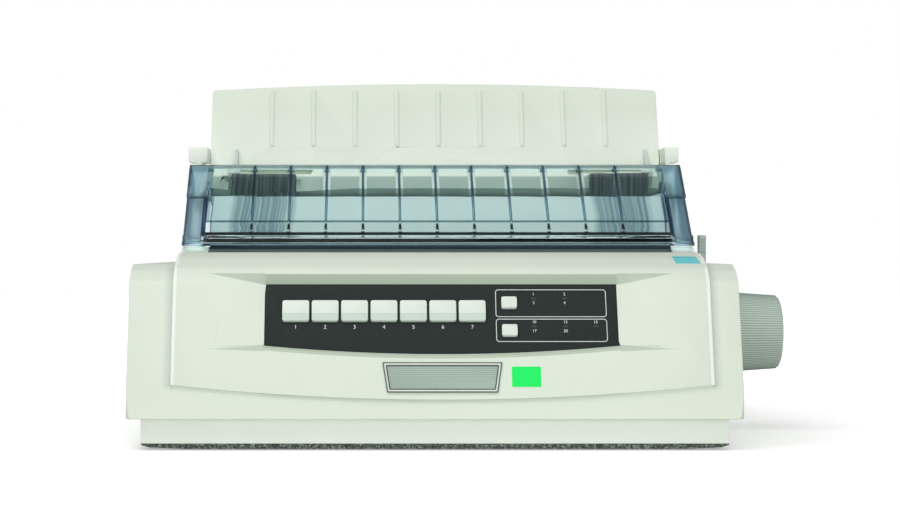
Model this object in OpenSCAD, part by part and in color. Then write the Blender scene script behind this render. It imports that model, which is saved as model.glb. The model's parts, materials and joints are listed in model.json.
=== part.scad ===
// Desk printer with a pin-feed paper path, a hinged smoked hood and a tilting sheet separator.
// Millimetres. The origin is under the middle of the whole outline, knob included, on the table.
// Inside the modules x runs from the case's centre, y from its front lip and z from the table.

/* [Case] */
// Width of the lower case over its side walls
case_width = 351; // [345:1:365]
// Depth of the case from the front lip to the rear wall
case_depth = 345; // [340:1:370]
// Height of the raised middle deck above the table
deck_height = 116; // [115:0.5:118]
// Height of the two side shoulders above the table
shoulder_height = 105.5; // [104:0.5:108]
// Height of the cover's lower edge above the table
skirt_height = 18; // [16:0.5:20]
// Wall thickness of the moulded covers
wall = 2.5; // [2:0.1:3]
// Lean of the front face from the table, in degrees
front_slope = 72.2; // [71:0.1:74]
// Corner radius of the case seen from above
corner_radius = 9; // [6:1:14]
// Gap between the lower edge of the cover and the side of the tray
tray_inset = 8.4; // [8.2:0.1:9]
// Thickness of the dark bottom plate
plinth_thickness = 3; // [2:0.1:4]
// Height that the rubber feet lift the bottom plate
foot_drop = 0.8; // [0.5:0.1:2]
// Radius of a rubber foot
foot_radius = 9; // [6:0.5:12]

/* [Raised middle] */
// Distance from the case's side to the raised middle, before its shift
raised_inset = 21; // [20.5:0.1:21.5]
// Sideways shift of the raised middle and the mechanism from the case's centre
raised_offset = 4.3; // [3.5:0.1:5]
// Thickness of the front bezel moulding
bezel_thickness = 1.8; // [1.4:0.1:2.2]
// Distance from the front lip to the bezel's rear seam
bezel_depth = 84; // [82:0.5:86]
// Height of the bezel's lower edge at its ends
bezel_low = 37.2; // [34:0.2:40]
// Sag of the bezel's lower edge at its middle
bezel_bow = 8.2; // [4:0.2:12]

/* [Control panel] */
// Width of the dark panel
panel_width = 201.4; // [198:0.2:206]
// Height of the dark panel at its ends, along its face
panel_height = 37.7; // [37:0.1:39]
// Sag of the panel's lower edge at its middle
panel_bow = 5; // [3:0.5:6]
// Thickness of the panel
panel_thickness = 2; // [1.5:0.1:2.5]
// Reach of the scoop in the bezel to either side of the panel's centre
scoop_half = 136; // [128:0.5:138]
// Width of a menu key
key_width = 15.4; // [12:0.1:15.8]
// Height of a menu key
key_height = 12.8; // [10:0.1:13.4]
// Distance between menu keys
key_pitch = 16.9; // [16.8:0.1:17.4]
// Width of a small key
small_key_width = 8.9; // [8:0.1:11]
// Height of a small key
small_key_height = 7.1; // [6:0.1:9]
// Travel of every key
key_travel = 1.5; // [0.8:0.1:1.6]
// Gap round a key in its hole
key_gap = 0.3; // [0.2:0.05:0.4]

/* [Hood] */
// Wall thickness of the hood
hood_wall = 2.2; // [1.8:0.1:2.6]
// Number of stiffening ribs inside the hood's face
hood_ribs = 11; // [7:2:13]
// Distance between the hood's ribs
hood_rib_pitch = 22.6; // [20:0.2:23]
// Depth of a hood rib
hood_rib_depth = 2; // [1:0.1:2.5]

/* [Separator] */
// Distance from the raised middle's side to the sheet separator's edge, before its shift
separator_inset = 8.3; // [7.8:0.1:9.5]
// Thickness of the separator
separator_thickness = 2.4; // [2:0.1:3]
// Lean of the separator from upright, in degrees
separator_lean = 22; // [20:0.5:24]
// Height of the separator's sides above its pivot, along its face
separator_height = 79; // [74:0.5:86]
// Rise of the separator's top edge at its middle
separator_bow = 4.8; // [2:0.2:8]
// Number of embossed ribs on the separator
separator_ribs = 9; // [5:2:9]
// Distance between the separator's ribs
separator_rib_pitch = 27.3; // [24:0.1:28]

/* [Platen] */
// Distance from the front lip to the platen's axis
platen_y = 150; // [149:0.5:151]
// Height of the platen's axis
platen_z = 62; // [61:0.5:63]
// Radius of the platen's rubber
platen_radius = 19; // [18.5:0.1:19.2]
// Radius of the platen's shaft
shaft_radius = 4; // [3.5:0.1:4.2]
// Reach of the knob past the case's side wall
knob_reach = 47; // [40:1:56]
// Radius of the knob at its inner end
knob_radius = 26; // [22:0.2:28]
// Share of that radius at the knob's outer end
knob_taper = 0.89; // [0.85:0.01:1]
// Number of flutes round the knob
knob_flutes = 96; // [48:4:100]
// Module of the paper-feed gears
gear_module = 1; // [0.98:0.01:1.02]

/* [Tractors] */
// Width of a tractor
tractor_width = 38; // [34:0.5:38]
// Radius of the tractors' support rod
support_rod_radius = 3; // [2.5:0.1:3.2]
// Side of the tractors' square drive shaft
drive_square = 6; // [5:0.1:6.2]

/* [Carriage] */
// Width of the ribbon cartridge
cartridge_width = 72; // [64:1:76]
// Radius of the front guide rod
guide_rod_radius = 5; // [4:0.1:5.5]
// Radius of the belt pulleys
pulley_radius = 6; // [5:0.1:6.5]

/* [Hidden] */
$fn = 48;

// Colours
shell_color = [0.86, 0.89, 0.84];
panel_color = [0.23, 0.27, 0.26];
dark_color = [0.16, 0.17, 0.18];
smoke_color = [0.55, 0.68, 0.75, 0.4];
knob_color = [0.62, 0.69, 0.62];
steel_color = [0.72, 0.74, 0.76];
rubber_color = [0.12, 0.12, 0.13];

// Running clearance of a shaft in its hole, and the gap between pieces that only face each other
running = 0.05;
seat_gap = 0.3;
round_detail = 32;

// Case levels and edges
case_x = -knob_reach / 2;
half_case = case_width / 2;
plinth_top = foot_drop + plinth_thickness;
floor_top = plinth_top + wall;
rim_thickness = 2;
rim_top = skirt_height + 4.5;
rim_bottom = rim_top - rim_thickness;
tray_half = half_case - tray_inset;
tray_front = 6;
tray_back = case_depth - 6;
raised_width = case_width - 2 * raised_inset;
raised_left = raised_offset - raised_width / 2;
raised_right = raised_offset + raised_width / 2;
function cover_y(z) = (z - skirt_height) / tan(front_slope);
function bezel_y(z) = cover_y(z) - bezel_thickness / sin(front_slope);

// Screws that hold the cover: between the tray's wall and the cover's wall
screw_x = half_case - (tray_inset + wall) / 2;
screw_ys = [30, case_depth - 30];
screw_radius = 1.4;
boss_radius = (tray_inset - wall) / 2 + 0.5;
boss_height = 20;

// The opening in the deck
opening_front = 75;
opening_back = 216;
opening_left = raised_left + 9.7;
opening_right = raised_right - 7.1;
opening_throat = 6.5;
throat_back = 96;

// Control panel plane and the recess round it
panel_low = [12.7, 57];
panel_slope = atan2(37, 16.5);
panel_base = 2.5;
panel_lap = 1.6;
panel_top = panel_base + panel_height;
scoop_rim = bezel_low + 15.9;
scoop_rim_bow = 6;
scoop_rim_flat = 109;
brow_knee = [bezel_y(96.5), 96.5];
brow_edge = [27.5, 100.2];
brow_seam = [31.5, 103.6];
scoop_wall = 2;
key_row = 23.5;
key_first = -83.8;
small_key_x = 38.9;
quality_row = 28.7;
pitch_row = 11.5;
key_edge = 1.8;
key_crown = 2.8;
collar = 0.5;
collar_top = panel_thickness + 0.2;
collar_bottom = collar_top + 0.8;
switch_top = collar_bottom + key_travel + 0.15;
board_top = switch_top + 1.7;
lens_size = [3, 1.4];
lens_places = [[53, 31.5], [71, 31.5], [53, 14.2], [71, 14.2], [88.4, 14.2]];

// Hood: its side profile from the front lip up to the rear lip
hood_left = raised_left + 0.2;
hood_right = raised_right - 0.2;
hood_base = deck_height + 0.4;
hood_pivot = [158, 152];
hood_pin_radius = 3;
hood_lobe = 7;
hood_back = 151;
hood_top = 167.5;
hood_crease = [98.5, 132.2];
hood_points = [[79.4, 100], [81, 118.3], [85.4, 119.2], [86.6, 122.6], [90, 123.8],
    hood_crease, [139.5, 165.2], [144, hood_top], [hood_back, hood_top], [hood_back, 100]];
hood_lip_z = 110.5;
hood_lip_left = opening_left + opening_throat + 1;
hood_lip_right = opening_right - opening_throat - 1;
notch_width = 11.9;
notch_low = 123;
notch_high = 146;
notch_depth = 5;

// Brackets that carry the hood and the separator
bracket_wall = 3;
bracket_left = hood_left + hood_wall + 0.4;
bracket_right = hood_right - hood_wall - 0.4;
bracket_foot = [170, 204];
bracket_top = 179.7;
bracket_cap = [170, bracket_top - 9.7];
cap_reach = 3.3;
cap_gap = 0.4;

// Separator
separator_pivot = [182, 146];
separator_x = raised_offset + 1.7;
separator_width = raised_width - 2 * separator_inset;
separator_half = separator_width / 2;
separator_pin_radius = 3.5;
apron_left = -81;
apron_right = 100;
apron_drop = 4;
panel_start = 17;
arm_width = 12;
rib_radius = 2;
rib_sink = 0.9;
rib_low = 39.5;
rib_high = 77;
guide_slot = [19.5, 23.5];
guide_travel = 50;
guide_thickness = 2.2;
left_guide_inset = 15.8;
right_guide_inset = 8.2;
boss_width = 5;

// Mechanism
frame_inset = 33;
frame_half = half_case - frame_inset;
frame_x = raised_offset + 2.2;
plate_thickness = 1.5;
plate_left = frame_x - frame_half;
plate_right = frame_x + frame_half;
plate_front = 88;
plate_back = 205;
plate_top = 100;
horn = [157, 176];
bushing_radius = shaft_radius + 2.5;
rod_y = platen_y - 50;
rod_z = platen_z - 24;
rail_y = platen_y - 30;
rail_z = platen_z - 29;
rail_size = [4, 8];

// Paper-feed gear train, seen along x
platen_teeth = 32;
idler_teeth = 17;
tractor_teeth = 14;
pinion_teeth = 14;
gear_x = [plate_left - 31, plate_left - 25];
platen_at = [platen_y, platen_z];
tractor_at = platen_at + [16, 32];
support_at = tractor_at + [0, 56];
function pitch_radius(teeth) = teeth * gear_module / 2;
idler_reach = pitch_radius(platen_teeth) + pitch_radius(idler_teeth);
idler_back_reach = pitch_radius(idler_teeth) + pitch_radius(tractor_teeth);
train_length = norm(tractor_at - platen_at);
train_angle = atan2(tractor_at[1] - platen_at[1], tractor_at[0] - platen_at[0]);
idler_swing = acos((idler_reach ^ 2 + train_length ^ 2 - idler_back_reach ^ 2)
    / (2 * idler_reach * train_length));
idler_angle = train_angle - idler_swing;
idler_at = platen_at + idler_reach * [cos(idler_angle), sin(idler_angle)];
tractor_angle = atan2(tractor_at[1] - idler_at[1], tractor_at[0] - idler_at[0]);
pinion_angle = 225;
pinion_reach = pitch_radius(platen_teeth) + pitch_radius(pinion_teeth);
pinion_at = platen_at + pinion_reach * [cos(pinion_angle), sin(pinion_angle)];
// Turn of a gear that meshes with one turned by turn_a and lying at angle from it
function mesh_turn(angle, turn_a, teeth_a, teeth_b) =
    angle + 180 + 180 / teeth_b - (turn_a - angle) * teeth_a / teeth_b;
platen_turn = 0;
idler_turn = mesh_turn(idler_angle, platen_turn, platen_teeth, idler_teeth);
tractor_turn = mesh_turn(tractor_angle, idler_turn, idler_teeth, tractor_teeth);
pinion_turn = mesh_turn(pinion_angle, platen_turn, platen_teeth, pinion_teeth);

// Feed rollers under the platen
feed_radius = 5.5;
feed_shaft = 2;
feed_angle = 240;
feed_at = platen_at + (platen_radius + feed_radius + seat_gap) * [cos(feed_angle), sin(feed_angle)];
feed_width = 18;
feed_places = [-100, -52, 4, 60, 108];

// Tractors: y and z of the frame, and the pin belt's place
tractor_front = tractor_at[0] - 9;
tractor_back = tractor_at[0] + 7;
tractor_low = tractor_at[1] - 10;
tractor_high = support_at[1] + 12;
tractor_left_x = plate_left + 33;
tractor_right_x = plate_right - 28.5;
belt_offset = 2;
belt_width = 5;
belt_outer = 7.6;
belt_thickness = 1.2;
pin_pitch = 12.7;
sprocket_radius = belt_outer - belt_thickness - 0.15;
door_thickness = 2.6;
door_barrel = 1.7;
door_pin = 0.8;

// Paper guide plate, chute and bail
guide_low = [139.5, 86];
guide_high = [154.3, 147.5];
guide_wall = 2.2;
chute_inner = platen_radius + 1.8;
chute_outer = chute_inner + 1.5;
bail_pivot = platen_at + [-22, 18];
bail_pin = 3;
bail_bar_y = [121, 127];
bail_bar_z = [104, 118];
bail_left = plate_left + 1.5;
bail_right = plate_right - 1.5;
bail_arm = 2.5;
lever_thickness = 4.2;
lever_right = half_case - wall - 0.9;
lever_top = 123;

// Carriage, head and ribbon
carriage_half = 30;
carriage_x = frame_x;
block_half = 9;
head_half = 12;
head_gap = 0.7;
deck_plate_z = rod_z + 12;
cartridge_low = deck_plate_z + 25;
cartridge_height = 15;
cartridge_front = plate_front + 1;
cartridge_back = platen_y - platen_radius - 3;
belt_y = rod_y + 8;
belt_z = [19, 25];
belt_strip = 1.3;
pulley_bore = 2;
drive_x = plate_left + 23;
idle_x = plate_right - 20;

// Rear parts
board_z = 20;
port_z = 23.2;
inlet_x = half_case - 90.5;
inlet_z = 40;
inlet_width = 54;
port_depth = 16;
board_x = [-60, half_case - 32.5];
board_y = [case_depth - 127, case_depth - 12];
board_thickness = 1.6;
board_posts_x = [board_x[0] + 8, board_x[1] - 8];
board_posts_y = [board_y[0] + 8, board_y[1] - 14];
belt_motor_radius = 20;
feed_motor_radius = 16;
switch_pivot = [case_depth - 6, inlet_z + 12];
ribbon_knob_x = 22;
foot_places = [for (x = [-1, 1], y = [tray_front + 32, tray_back - 32]) [x * (tray_half - 38), y]];

module block(x, y, z) {
    translate([x[0], y[0], z[0]]) cube([x[1] - x[0], y[1] - y[0], z[1] - z[0]]);
}
module along_x(x0, x1) {
    translate([x0, 0, 0]) rotate([90, 0, 90]) linear_extrude(x1 - x0) children();
}
module along_y(y0, y1) {
    translate([0, y1, 0]) rotate([90, 0, 0]) linear_extrude(y1 - y0) children();
}
module rod(x0, x1, at, r) {
    translate([x0, at[0], at[1]]) rotate([0, 90, 0]) cylinder(h = x1 - x0, r = r);
}
module rounded_rect(w, h, r) {
    offset(r = r, $fn = round_detail) square([w - 2 * r, h - 2 * r], center = true);
}
module placed() {
    translate([case_x, -case_depth / 2, 0]) children();
}
// Points of a shallow bow from -half to half that rises by bow at its middle
function bow_points(half, bow, count = 20) =
    [for (i = [0:count]) let (x = -half + 2 * half * i / count) [x, bow * (1 - (x / half) ^ 2)]];

// One gear's outline: involute flanks over a short addendum
function involute(r_base, r) = let (a = acos(min(1, r_base / r))) tan(a) * 180 / PI - a;
function tooth_half(teeth, r) = let (r_base = pitch_radius(teeth) * cos(20))
    90 / teeth * 0.92 + involute(r_base, pitch_radius(teeth)) - involute(r_base, max(r, r_base));
function tooth_radii(teeth) = let (r = pitch_radius(teeth), tip = r + 0.8 * gear_module)
    [r - 1.1 * gear_module, r * cos(20), r - 0.1, r + 0.4 * gear_module, tip];
function gear_points(teeth) = [for (i = [0:teeth - 1]) for (side = [-1, 1])
    for (k = [0:4]) let (r = tooth_radii(teeth)[side < 0 ? k : 4 - k],
        a = 360 / teeth * i + side * tooth_half(teeth, r)) r * [cos(a), sin(a)]];
module gear(teeth, turn) {
    rotate(turn) polygon(gear_points(teeth));
}

// ---- Casing ----
module base_tray() color(shell_color) placed() {
    inner = tray_half - wall;
    difference() {
        union() {
            block([-tray_half, tray_half], [tray_front, tray_back], [plinth_top, rim_top]);
            intersection() {
                block([-half_case, half_case], [cover_y(rim_top) + wall + 1, case_depth - wall - seat_gap],
                    [rim_bottom, rim_top]);
                plan_block(wall + seat_gap);
            }
        }
        block([-inner, inner], [tray_front + wall, tray_back - wall], [floor_top, rim_top + 1]);
        for (x = [-screw_x, screw_x], y = screw_ys)
            translate([x, y, rim_bottom - 1]) cylinder(h = rim_thickness + 2, r = screw_radius + 0.2);
    }
    for (x = board_posts_x, y = board_posts_y)
        translate([x, y, floor_top]) cylinder(h = board_z - floor_top, r = 3);
}

module plinth() color([0.33, 0.37, 0.34]) placed() {
    taper = 26;
    foot_cut = foot_radius + 0.2;
    difference() {
        along_y(tray_front, tray_back) polygon([[-tray_half, plinth_top], [-tray_half, plinth_top - 0.8],
            [-tray_half + 5, foot_drop + 0.9], [-tray_half + taper, foot_drop],
            [tray_half - taper, foot_drop], [tray_half - 5, foot_drop + 0.9],
            [tray_half, plinth_top - 0.8], [tray_half, plinth_top]]);
        for (place = foot_places)
            translate([place[0], place[1], -1]) cylinder(h = 1 + plinth_top - 1, r = foot_cut);
    }
}
module rubber_feet() color(rubber_color) placed() {
    for (place = foot_places)
        translate([place[0], place[1], 0]) cylinder(h = plinth_top - 1, r = foot_radius);
}

module half_plane(z) {
    translate([-100, z]) square([case_depth + 300, 300]);
}
module shoulder_profile(inset, low) {
    intersection() {
        offset(delta = -inset) offset(r = 8) offset(delta = -8)
            polygon([[cover_y(-60), -60], [cover_y(95.5), 95.5], [33, 101.8], [44, shoulder_height],
                [case_depth, shoulder_height], [case_depth, -60]]);
        half_plane(low);
    }
}
module raised_profile(inset, low) {
    intersection() {
        offset(delta = -inset) offset(r = 12) offset(delta = -12)
            polygon([[bezel_y(-60), -60], [bezel_y(96.5), 96.5], [31.5, 103.6], [45, 108.9],
                [60, 111.7], [opening_front, 112.4], [82, 113.2], [90, deck_height],
                [case_depth, deck_height], [case_depth, -60]]);
        half_plane(low);
    }
}
module plan_outline(inset) {
    translate([0, case_depth / 2])
        offset(delta = -inset) rounded_rect(case_width, case_depth + 2 * wall, corner_radius);
}
module plan_block(inset) {
    translate([0, 0, -1]) linear_extrude(deck_height + 10) plan_outline(inset);
}
// The cover's outer form without the bezel
module cover_form() {
    along_x(-half_case, half_case) shoulder_profile(0, skirt_height);
    along_x(raised_left + bezel_thickness, raised_right - bezel_thickness)
        raised_profile(bezel_thickness, skirt_height);
    difference() {
        along_x(raised_left, raised_right) raised_profile(0, shoulder_height - 20);
        block([-half_case, half_case], [-50, bezel_depth], [0, deck_height + 10]);
    }
}
module cover_cavity() {
    along_x(-half_case + wall, half_case - wall) shoulder_profile(wall, skirt_height - 1);
    along_x(raised_left + bezel_thickness + wall, raised_right - bezel_thickness - wall)
        raised_profile(bezel_thickness + wall, skirt_height - 1);
}
module deck_opening() {
    left = opening_left + opening_throat;
    right = opening_right - opening_throat;
    translate([0, 0, shoulder_height - 20]) linear_extrude(60)
        polygon([[left, opening_front], [right, opening_front], [right, throat_back - opening_throat],
            [opening_right, throat_back], [opening_right, opening_back],
            [opening_left, opening_back], [opening_left, throat_back],
            [left, throat_back - opening_throat]]);
}
module main_cover() color(shell_color) placed() {
    vent_count = 12;
    vent_pitch = 8;
    vent_width = 3.5;
    side_vents = case_depth - 125;
    rear_vents = 34.5 - half_case;
    difference() {
        intersection() {
            cover_form();
            plan_block(0);
        }
        intersection() {
            cover_cavity();
            plan_block(wall);
        }
        deck_opening();
        // window behind the bezel's recess
        block([raised_offset - scoop_half - 3.5, raised_offset + scoop_half + 3.5], [-5, 60],
            [scoop_rim - 2.6, 102.4]);
        // knob shaft
        rod(half_case - wall - 1, half_case + 1, platen_at, shaft_radius + 2);
        // slot for the paper lever
        block([lever_right - lever_thickness - 0.6, lever_right + 0.6], [111, 134],
            [shoulder_height - wall - 1, shoulder_height + 1]);
        // cooling slits, left side and rear
        for (i = [0:vent_count - 1]) {
            block([-half_case - 1, -half_case + wall + 1],
                [side_vents + vent_pitch * i, side_vents + vent_pitch * i + vent_width], [50, 85]);
            block([rear_vents + vent_pitch * i, rear_vents + vent_pitch * i + vent_width],
                [case_depth - wall - 1, case_depth + 1], [60, 88]);
        }
        // sockets
        block([inlet_x - 0.2, inlet_x + inlet_width + 0.2], [case_depth - wall - 1, case_depth + 1],
            [inlet_z - 0.2, inlet_z + 24.2]);
        block([25.7, 76.3], [case_depth - wall - 1, case_depth + 1], [port_z - 0.3, port_z + 12.3]);
        block([-2.3, 12.3], [case_depth - wall - 1, case_depth + 1], [port_z - 0.3, port_z + 12.3]);
    }
    // screw bosses on the side walls
    for (x = [-screw_x, screw_x], y = screw_ys) difference() {
        translate([x, y, rim_top]) cylinder(h = boss_height, r = boss_radius);
        translate([x, y, rim_top - 1]) cylinder(h = boss_height - 4, r = screw_radius + running);
    }
}

module panel_outline(grow) {
    offset(delta = grow) polygon(concat([[-panel_width / 2, panel_top]],
        [for (p = bow_points(panel_width / 2, panel_bow)) [p[0], panel_base - p[1]]],
        [[panel_width / 2, panel_top]]));
}
module on_panel() {
    translate([raised_offset, panel_low[0], panel_low[1]]) rotate([panel_slope, 0, 0]) children();
}
module on_bezel() {
    translate([raised_offset, bezel_y(bezel_low), bezel_low]) rotate([front_slope, 0, 0]) children();
}

// The scoop: a loft across the case. Behind the panel's width it reaches down to the panel's plane, and
// past the panel it runs out on a parabola until it lies in the bezel's own surface.
// A point of the panel's plane, s up the slope and n in front of it
function panel_at(s, n) = panel_low + s * [cos(panel_slope), sin(panel_slope)]
    + n * [-sin(panel_slope), cos(panel_slope)];
// Section of the scoop at x from the panel's middle, grown by a margin and pushed back by a depth
function scoop_section(x, grow, back) = let (
    half = panel_width / 2 + grow,
    out = min(1, max(0, abs(x) - half) / (scoop_half - panel_width / 2)),
    depth = 1.03 * (1 - out) ^ 2 - 0.03,
    sag = panel_bow * (1 - min(1, abs(x) / half) ^ 2),
    push = back * [sin(front_slope), -cos(front_slope)],
    foot = panel_at(panel_base - sag - grow, -0.1) + push,
    head = panel_at(panel_top + grow, -0.1) + push,
    rim_z = scoop_rim - grow + scoop_rim_bow * min(1, abs(x) / scoop_rim_flat) ^ 2,
    rim = [bezel_y(rim_z), rim_z] + push,
    knee = brow_knee + push,
    brow = brow_edge + grow * (brow_seam - brow_edge) / norm(brow_seam - brow_edge) + push)
    [foot + 4 * (rim - foot), rim + depth * (foot - rim), knee + depth * (head - knee), brow,
        brow_edge + [-14, 3]];
module scoop(grow, back) {
    half = panel_width / 2 + grow;
    reach = scoop_half - panel_width / 2;
    middle = [for (p = bow_points(half, 0, 16)) p[0]];
    side = [for (i = [1:6]) half + reach * i / 6];
    stations = concat([for (i = [5:-1:0]) -side[i]], middle, side);
    sections = [for (x = stations) [for (p = scoop_section(x, grow, back)) [raised_offset + x, p[0], p[1]]]];
    corners = len(sections[0]);
    last = (len(stations) - 1) * corners;
    polyhedron(points = [for (section = sections) each section],
        faces = concat([[for (j = [0:corners - 1]) j]], [[for (j = [corners - 1:-1:0]) last + j]],
            [for (i = [0:len(stations) - 2]) for (j = [0:corners - 1])
                let (a = i * corners + j, b = i * corners + (j + 1) % corners)
                each [[a, b + corners, b], [a, a + corners, b + corners]]]));
}
module front_bezel() color(shell_color) placed() {
    difference() {
        union() {
            difference() {
                intersection() {
                    along_x(raised_left, raised_right) raised_profile(0, bezel_low - bezel_bow - 1);
                    block([raised_left, raised_right], [-20, bezel_depth], [0, deck_height + 5]);
                    along_y(-20, bezel_depth) translate([raised_offset, bezel_low])
                        polygon(concat([[-raised_width / 2 - 1, 100], [-raised_width / 2 - 1, 0]],
                            [for (p = bow_points(raised_width / 2, bezel_bow)) [p[0], -p[1]]],
                            [[raised_width / 2 + 1, 0], [raised_width / 2 + 1, 100]]));
                }
                cover_form();
                deck_opening();
            }
            intersection() {
                along_x(raised_left, raised_right) raised_profile(0, bezel_low);
                scoop(scoop_wall, scoop_wall);
            }
        }
        scoop(0, 0);
        on_panel() translate([0, 0, -8]) linear_extrude(8) panel_outline(panel_lap + 0.2);
    }
}
module menu_key_places() {
    for (i = [0:6]) translate([key_first + key_pitch * i, key_row, 0]) children();
}
module control_panel() color(panel_color) placed() on_panel() {
    difference() {
        translate([0, 0, -panel_thickness]) linear_extrude(panel_thickness) panel_outline(panel_lap);
        translate([0, 0, -panel_thickness - 1]) linear_extrude(panel_thickness + 2) {
            menu_key_places() rounded_rect(key_width + 2 * key_gap, key_height + 2 * key_gap, 1.6);
            for (row = [quality_row, pitch_row]) translate([small_key_x, row])
                rounded_rect(small_key_width + 2 * key_gap, small_key_height + 2 * key_gap, 1.3);
            for (p = lens_places) translate(p) square(lens_size + [0.2, 0.2], center = true);
        }
    }
}
module key_board() color([0.2, 0.42, 0.26]) placed() on_panel() {
    board_half = panel_width / 2 - 8;
    post = board_top - panel_thickness;
    translate([-board_half, 5, -board_top - 1.6]) cube([2 * board_half, panel_height - 6, 1.6]);
    for (x = [-board_half + 4, board_half - 4], s = [9, panel_height - 3.2])
        translate([x, s, -board_top - 0.1]) cylinder(h = post + 0.1, r = 2);
    menu_key_places() translate([-3, -3, -board_top - 0.1]) cube([6, 6, board_top - switch_top + 0.1]);
    for (row = [quality_row, pitch_row])
        translate([small_key_x - 3, row - 3, -board_top - 0.1]) cube([6, 6, board_top - switch_top + 0.1]);
}
module indicator_lenses() color([0.3, 0.42, 0.34]) placed() on_panel() {
    for (p = lens_places) translate([p[0], p[1], -panel_thickness])
        linear_extrude(panel_thickness + 0.1) square(lens_size, center = true);
}
module key_cap(at, w, h, r) {
    color([0.86, 0.9, 0.88]) placed() on_panel() translate([at[0], at[1], 0]) {
        intersection() {
            translate([0, 0, -collar_top]) linear_extrude(collar_top + 5) rounded_rect(w, h, r);
            along_x(-w, w) polygon([[-h, -collar_bottom], [h, -collar_bottom], [h, key_edge],
                [h / 2, key_edge], [0, key_crown], [-h / 2, key_edge], [-h, key_edge]]);
        }
        translate([0, 0, -collar_bottom]) linear_extrude(collar_bottom - collar_top)
            rounded_rect(w + 2 * collar, h + 2 * collar, r);
    }
}
module menu_key(i) {
    key_cap([key_first + key_pitch * (i - 1), key_row], key_width, key_height, 1.4);
}
module nameplate() color([0.6, 0.66, 0.63]) placed() on_bezel() {
    top_half = 34.2;
    low_half = 31.5;
    low = -4.6;
    high = 13.2;
    field = 0.6;
    frame_height = 1;
    difference() {
        linear_extrude(frame_height)
            polygon([[-low_half, low], [low_half, low], [top_half, high], [-top_half, high]]);
        translate([0, 0, field]) linear_extrude(1) offset(delta = -2)
            polygon([[-low_half, low], [low_half, low], [top_half, high], [-top_half, high]]);
    }
}

// ---- Hood and its brackets ----
module hood_region(points, inset) {
    offset(delta = -inset) polygon(points);
}
module hood_keep(low) {
    polygon([[60, low], [hood_back - hood_wall - 0.5, low], [hood_back - hood_wall - 0.5, hood_top - 5],
        [hood_back + 5, hood_top - 5], [hood_back + 5, 200], [60, 200]]);
}
module hood_band(points, low) {
    intersection() {
        difference() {
            hood_region(points, 0);
            hood_region(points, hood_wall);
        }
        hood_keep(low);
    }
}
notch_slope = (hood_points[6][0] - hood_crease[0]) / (hood_points[6][1] - hood_crease[1]);
function face_y(z) = z < hood_crease[1]
    ? 90 + (z - 123.8) * (hood_crease[0] - 90) / (hood_crease[1] - 123.8)
    : hood_crease[0] + (z - hood_crease[1]) * notch_slope;
// The side strips' profile: the face steps back between two heights, which makes a finger grip
hood_strip_points = [[80, 100], [81, 118.3], [85.4, 119.2], [86.6, 122.6],
    [86.6 + notch_depth, 122.6], [face_y(notch_high) + notch_depth, notch_high],
    [face_y(notch_high), notch_high], hood_points[6], hood_points[7], hood_points[8], hood_points[9]];
module hood_side() {
    difference() {
        union() {
            intersection() {
                hood_region(hood_strip_points, 0);
                half_plane(hood_base);
            }
            hull() {
                translate(hood_pivot) circle(r = hood_lobe);
                translate([hood_back - 4, hood_pivot[1] - 10]) square([3, 21]);
            }
        }
        translate([60, 90]) square([hood_strip_points[1][0] + 4.6 - 60, 60]);
    }
}
module hood_ribs_profile(from_y) {
    intersection() {
        difference() {
            hood_region(hood_points, hood_wall - 0.3);
            hood_region(hood_points, hood_wall + hood_rib_depth);
        }
        translate([from_y, 100]) square([hood_back - hood_wall - hood_rib_depth - 0.3 - from_y, 100]);
        half_plane(118);
    }
}
module hood() color(smoke_color) placed() {
    strip_left = hood_left + notch_width;
    strip_right = hood_right - notch_width;
    rib_width = 1.2;
    tick_width = 2;
    difference() {
        union() {
            along_x(strip_left, strip_right) hood_band(hood_points, hood_base);
            along_x(hood_lip_left, hood_lip_right) hood_band(hood_points, hood_lip_z);
            for (x = [[hood_left, strip_left], [strip_right, hood_right]])
                along_x(x[0], x[1]) hood_band(hood_strip_points, hood_base);
            for (x = [strip_left - hood_wall / 2, strip_right - hood_wall / 2])
                along_x(x, x + hood_wall) intersection() {
                    difference() {
                        hood_region(hood_points, 0);
                        hood_region(hood_points, hood_wall + notch_depth);
                    }
                    translate([60, notch_low - 4]) square([78, notch_high - notch_low + 8]);
                }
            for (x = [hood_left, hood_right - hood_wall]) along_x(x, x + hood_wall) hood_side();
            for (i = [0:hood_ribs - 1]) {
                x = raised_offset + (i - (hood_ribs - 1) / 2) * hood_rib_pitch;
                along_x(x - rib_width / 2, x + rib_width / 2) hood_ribs_profile(hood_crease[0] - 1);
                along_x(x - tick_width / 2, x + tick_width / 2) intersection() {
                    hood_ribs_profile(hood_crease[0] - 5);
                    translate([hood_crease[0] - 6, 100]) square([5, 40]);
                }
            }
        }
        rod(hood_left - 1, hood_right + 1, hood_pivot, hood_pin_radius + running);
    }
}
module bracket_profile() {
    polygon([[bracket_foot[0], deck_height], [bracket_foot[1], deck_height],
        [bracket_foot[1], 152], [198, bracket_top], [bracket_cap[0], bracket_top],
        bracket_cap, bracket_cap - [-1.5, 12], hood_pivot + [5, 3], hood_pivot + [0, hood_lobe - 1],
        hood_pivot - [5, 5], [bracket_foot[0], 134]]);
    translate(hood_pivot) circle(r = hood_lobe - 0.5);
}
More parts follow.
